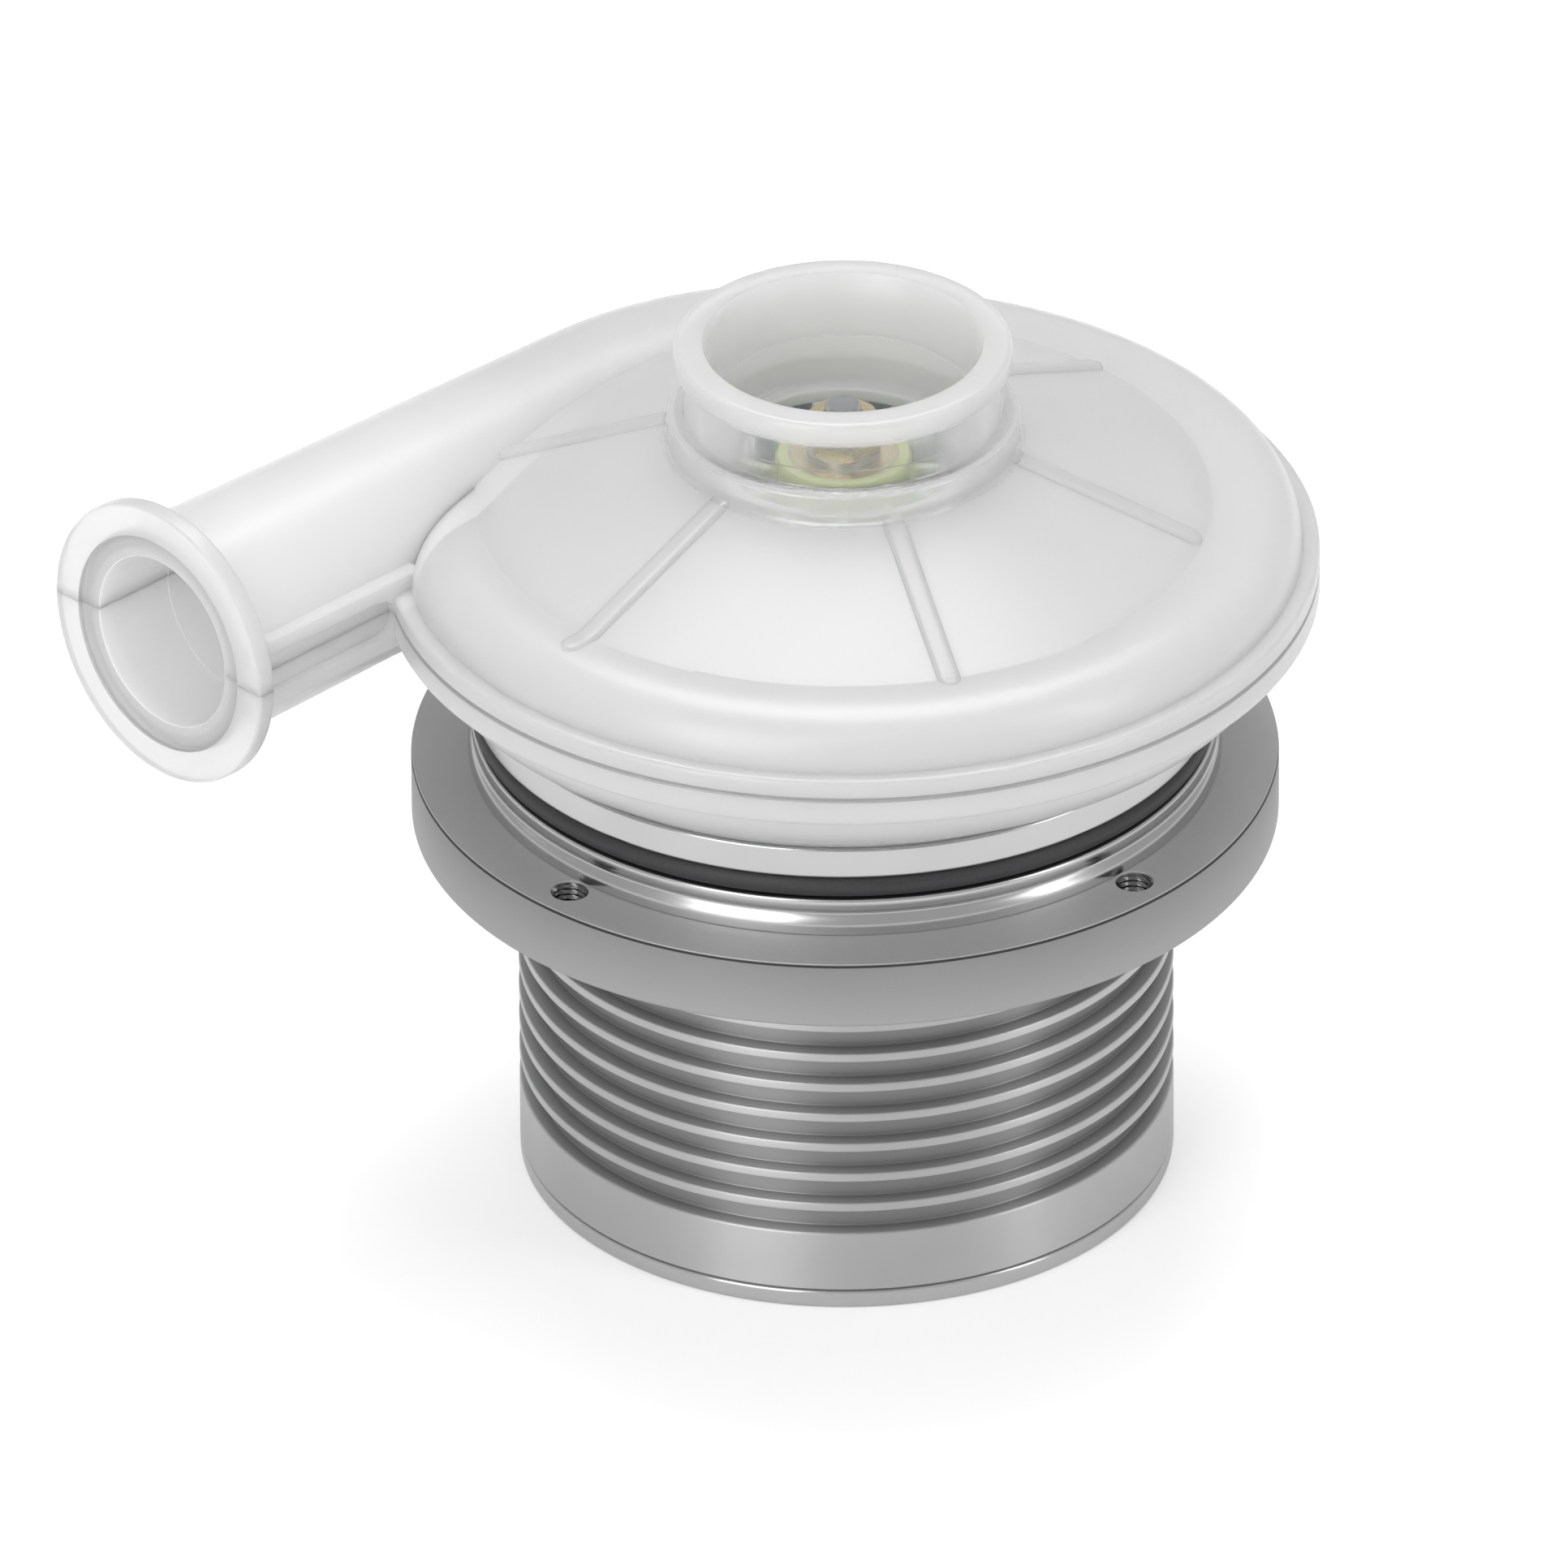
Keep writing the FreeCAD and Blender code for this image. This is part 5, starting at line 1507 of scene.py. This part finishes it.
# %% Give each inner node its finish
inner_finishes = {
    screw_finish: ["volute_screws", "barrel_screws", "base_cap_screws", "impeller_washer"],
    rubber_finish: ["cable_grommet"],
    lamination_finish: ["stator_core", "rotor_core"],
    insulator_finish: ["stator_insulators"],
    wire_finish: ["stator_coils"],
    board_finish: ["sensor_board"],
    sensor_finish: ["hall_sensors"],
    shaft_finish: ["shaft", "shaft_spacer", "preload_spring"],
    brass_finish: ["impeller_bush", "balance_rings"],
    magnet_finish: ["rotor_magnet"],
    sleeve_finish: ["rotor_sleeve"],
    cage_finish: ["front_bearing_cage", "rear_bearing_cage"],
    bearing_finish: [
        place + part
        for place in ("front_bearing", "rear_bearing")
        for part in ("_outer", "_inner", "_shields", "_balls")
    ],
}
finished = 0
for finish, names in inner_finishes.items():
    for name in names:
        nodes[name].material_slots[0].material = finish
        finished += 1
print(finished, "inner nodes finished")

# %% [markdown]
# ## The studio
# The object stands on a plain white floor that runs out of sight. The floor is lit like the object and so
# keeps its shadow, and a little light of its own, seen only by the camera, by metal and through clear
# plastic, lifts it to pure white. The same goes for the world behind it.

# %% Floor and world
floor_size = 20.0
floor_lift = 0.25
floor_lift_in_metal = 0.0
white_room = 1.0
white_room_in_metal = 0.5
room_light = 0.72


def seen_as(owner, otherwise, by_camera, by_gloss, through_clear):
    """A strength that depends on what meets the surface: camera, reflection or a view through plastic.

    Each kind of ray that Light Path tells apart puts its own strength in the place of the one before.
    """
    strength = otherwise
    kinds = {"Is Camera Ray": by_camera, "Is Glossy Ray": by_gloss, "Is Transmission Ray": through_clear}
    for kind, value in kinds.items():
        ray = add(owner, "ShaderNodeLightPath", out=kind)
        strength = add(owner, "ShaderNodeMapRange", {0: ray, 3: strength, 4: value})
    return strength


floor_finish, floor_where = new_finish("white_studio_floor")
paper = add(floor_finish, "ShaderNodeTexNoise", {"Vector": floor_where, "Scale": per_metre(60.0)})
shine = {"Specular_IOR_Level": 0.1, "Emission_Color": linear("#FFFFFF")}
shine["Emission_Strength"] = seen_as(floor_finish, 0.0, floor_lift, floor_lift_in_metal, floor_lift)
surfaced(floor_finish, paper, ("#F4F4F4", "#F6F6F6"), paper, (0.88, 0.92), 0.01, **shine)

edge = floor_size / 2
ground = [(-edge, -edge, 0), (edge, -edge, 0), (edge, edge, 0), (-edge, edge, 0)]
floor_mesh = bpy.data.meshes.new("studio_floor")
floor_mesh.from_pydata(ground, [], [(0, 1, 2, 3)])
floor = bpy.data.objects.new("studio_floor", floor_mesh)
bpy.context.collection.objects.link(floor)
floor.data.materials.append(floor_finish)

world = bpy.data.worlds.new("white room")
bpy.context.scene.world = world
world.use_nodes = True
world.node_tree.nodes.clear()
strength = seen_as(world, room_light, white_room, white_room_in_metal, white_room)
sky = add(world, "ShaderNodeBackground", {"Color": linear("#FFFFFF"), "Strength": strength})
add(world, "ShaderNodeOutputWorld", {"Surface": sky})
print("floor lifted by", floor_lift, "and room light at", room_light)

# %% [markdown]
# A large soft lamp hangs above and gives the round shadow. Two tall lamps stand left and right in front, and
# they draw the bright streaks on the metal.

# %% Lamps
object_middle = Vector((0, 0, 40))


def soft_lamp(name, place, width, height, energy):
    """A rectangular lamp at a place in millimetres that looks at the middle of the object."""
    data = bpy.data.lights.new(name, "AREA")
    data.shape = "RECTANGLE"
    data.size = width * MM
    data.size_y = height * MM
    data.energy = energy
    lamp = bpy.data.objects.new(name, data)
    bpy.context.collection.objects.link(lamp)
    lamp.location = Vector(place) * MM
    lamp.rotation_euler = (object_middle - Vector(place)).to_track_quat("-Z", "Y").to_euler()
    return lamp


soft_lamp("overhead", (180, 190, 700), 420, 420, 2.0)
soft_lamp("left front", (-561, -155, 300), 320, 520, 1.3)
soft_lamp("right front", (181, -553, 300), 130, 520, 0.6)

# %% [markdown]
# ## The camera
# The photograph looks down on the blower at about 31 degrees, from between the outlet's side and the front,
# through a long lens. The object's axis leans a touch to the left in the picture, so the camera is rolled.

# %% Camera
view_azimuth = np.radians(-43.8)
view_elevation = np.radians(30.54)
view_distance = 3000.0
view_roll = np.radians(-0.35)
view_target = np.array([-5.34, 1.56, 35.0])
frame_width = 126.4
sensor_width = 36.0

towards_camera = np.array(
    [
        np.sin(view_azimuth) * np.cos(view_elevation),
        -np.cos(view_azimuth) * np.cos(view_elevation),
        np.sin(view_elevation),
    ]
)
camera_data = bpy.data.cameras.new("camera")
camera_data.sensor_width = sensor_width
camera_data.lens = sensor_width * view_distance / frame_width
camera = bpy.data.objects.new("camera", camera_data)
bpy.context.collection.objects.link(camera)
camera.location = Vector((view_target + towards_camera * view_distance) * MM)
upright = Vector(-towards_camera).to_track_quat("-Z", "Y")
camera.rotation_mode = "QUATERNION"
camera.rotation_quaternion = upright @ Quaternion((0, 0, 1), view_roll)
bpy.context.scene.camera = camera
bpy.context.scene.view_settings.view_transform = "Standard"
print("lens", round(camera_data.lens, 1), "mm")
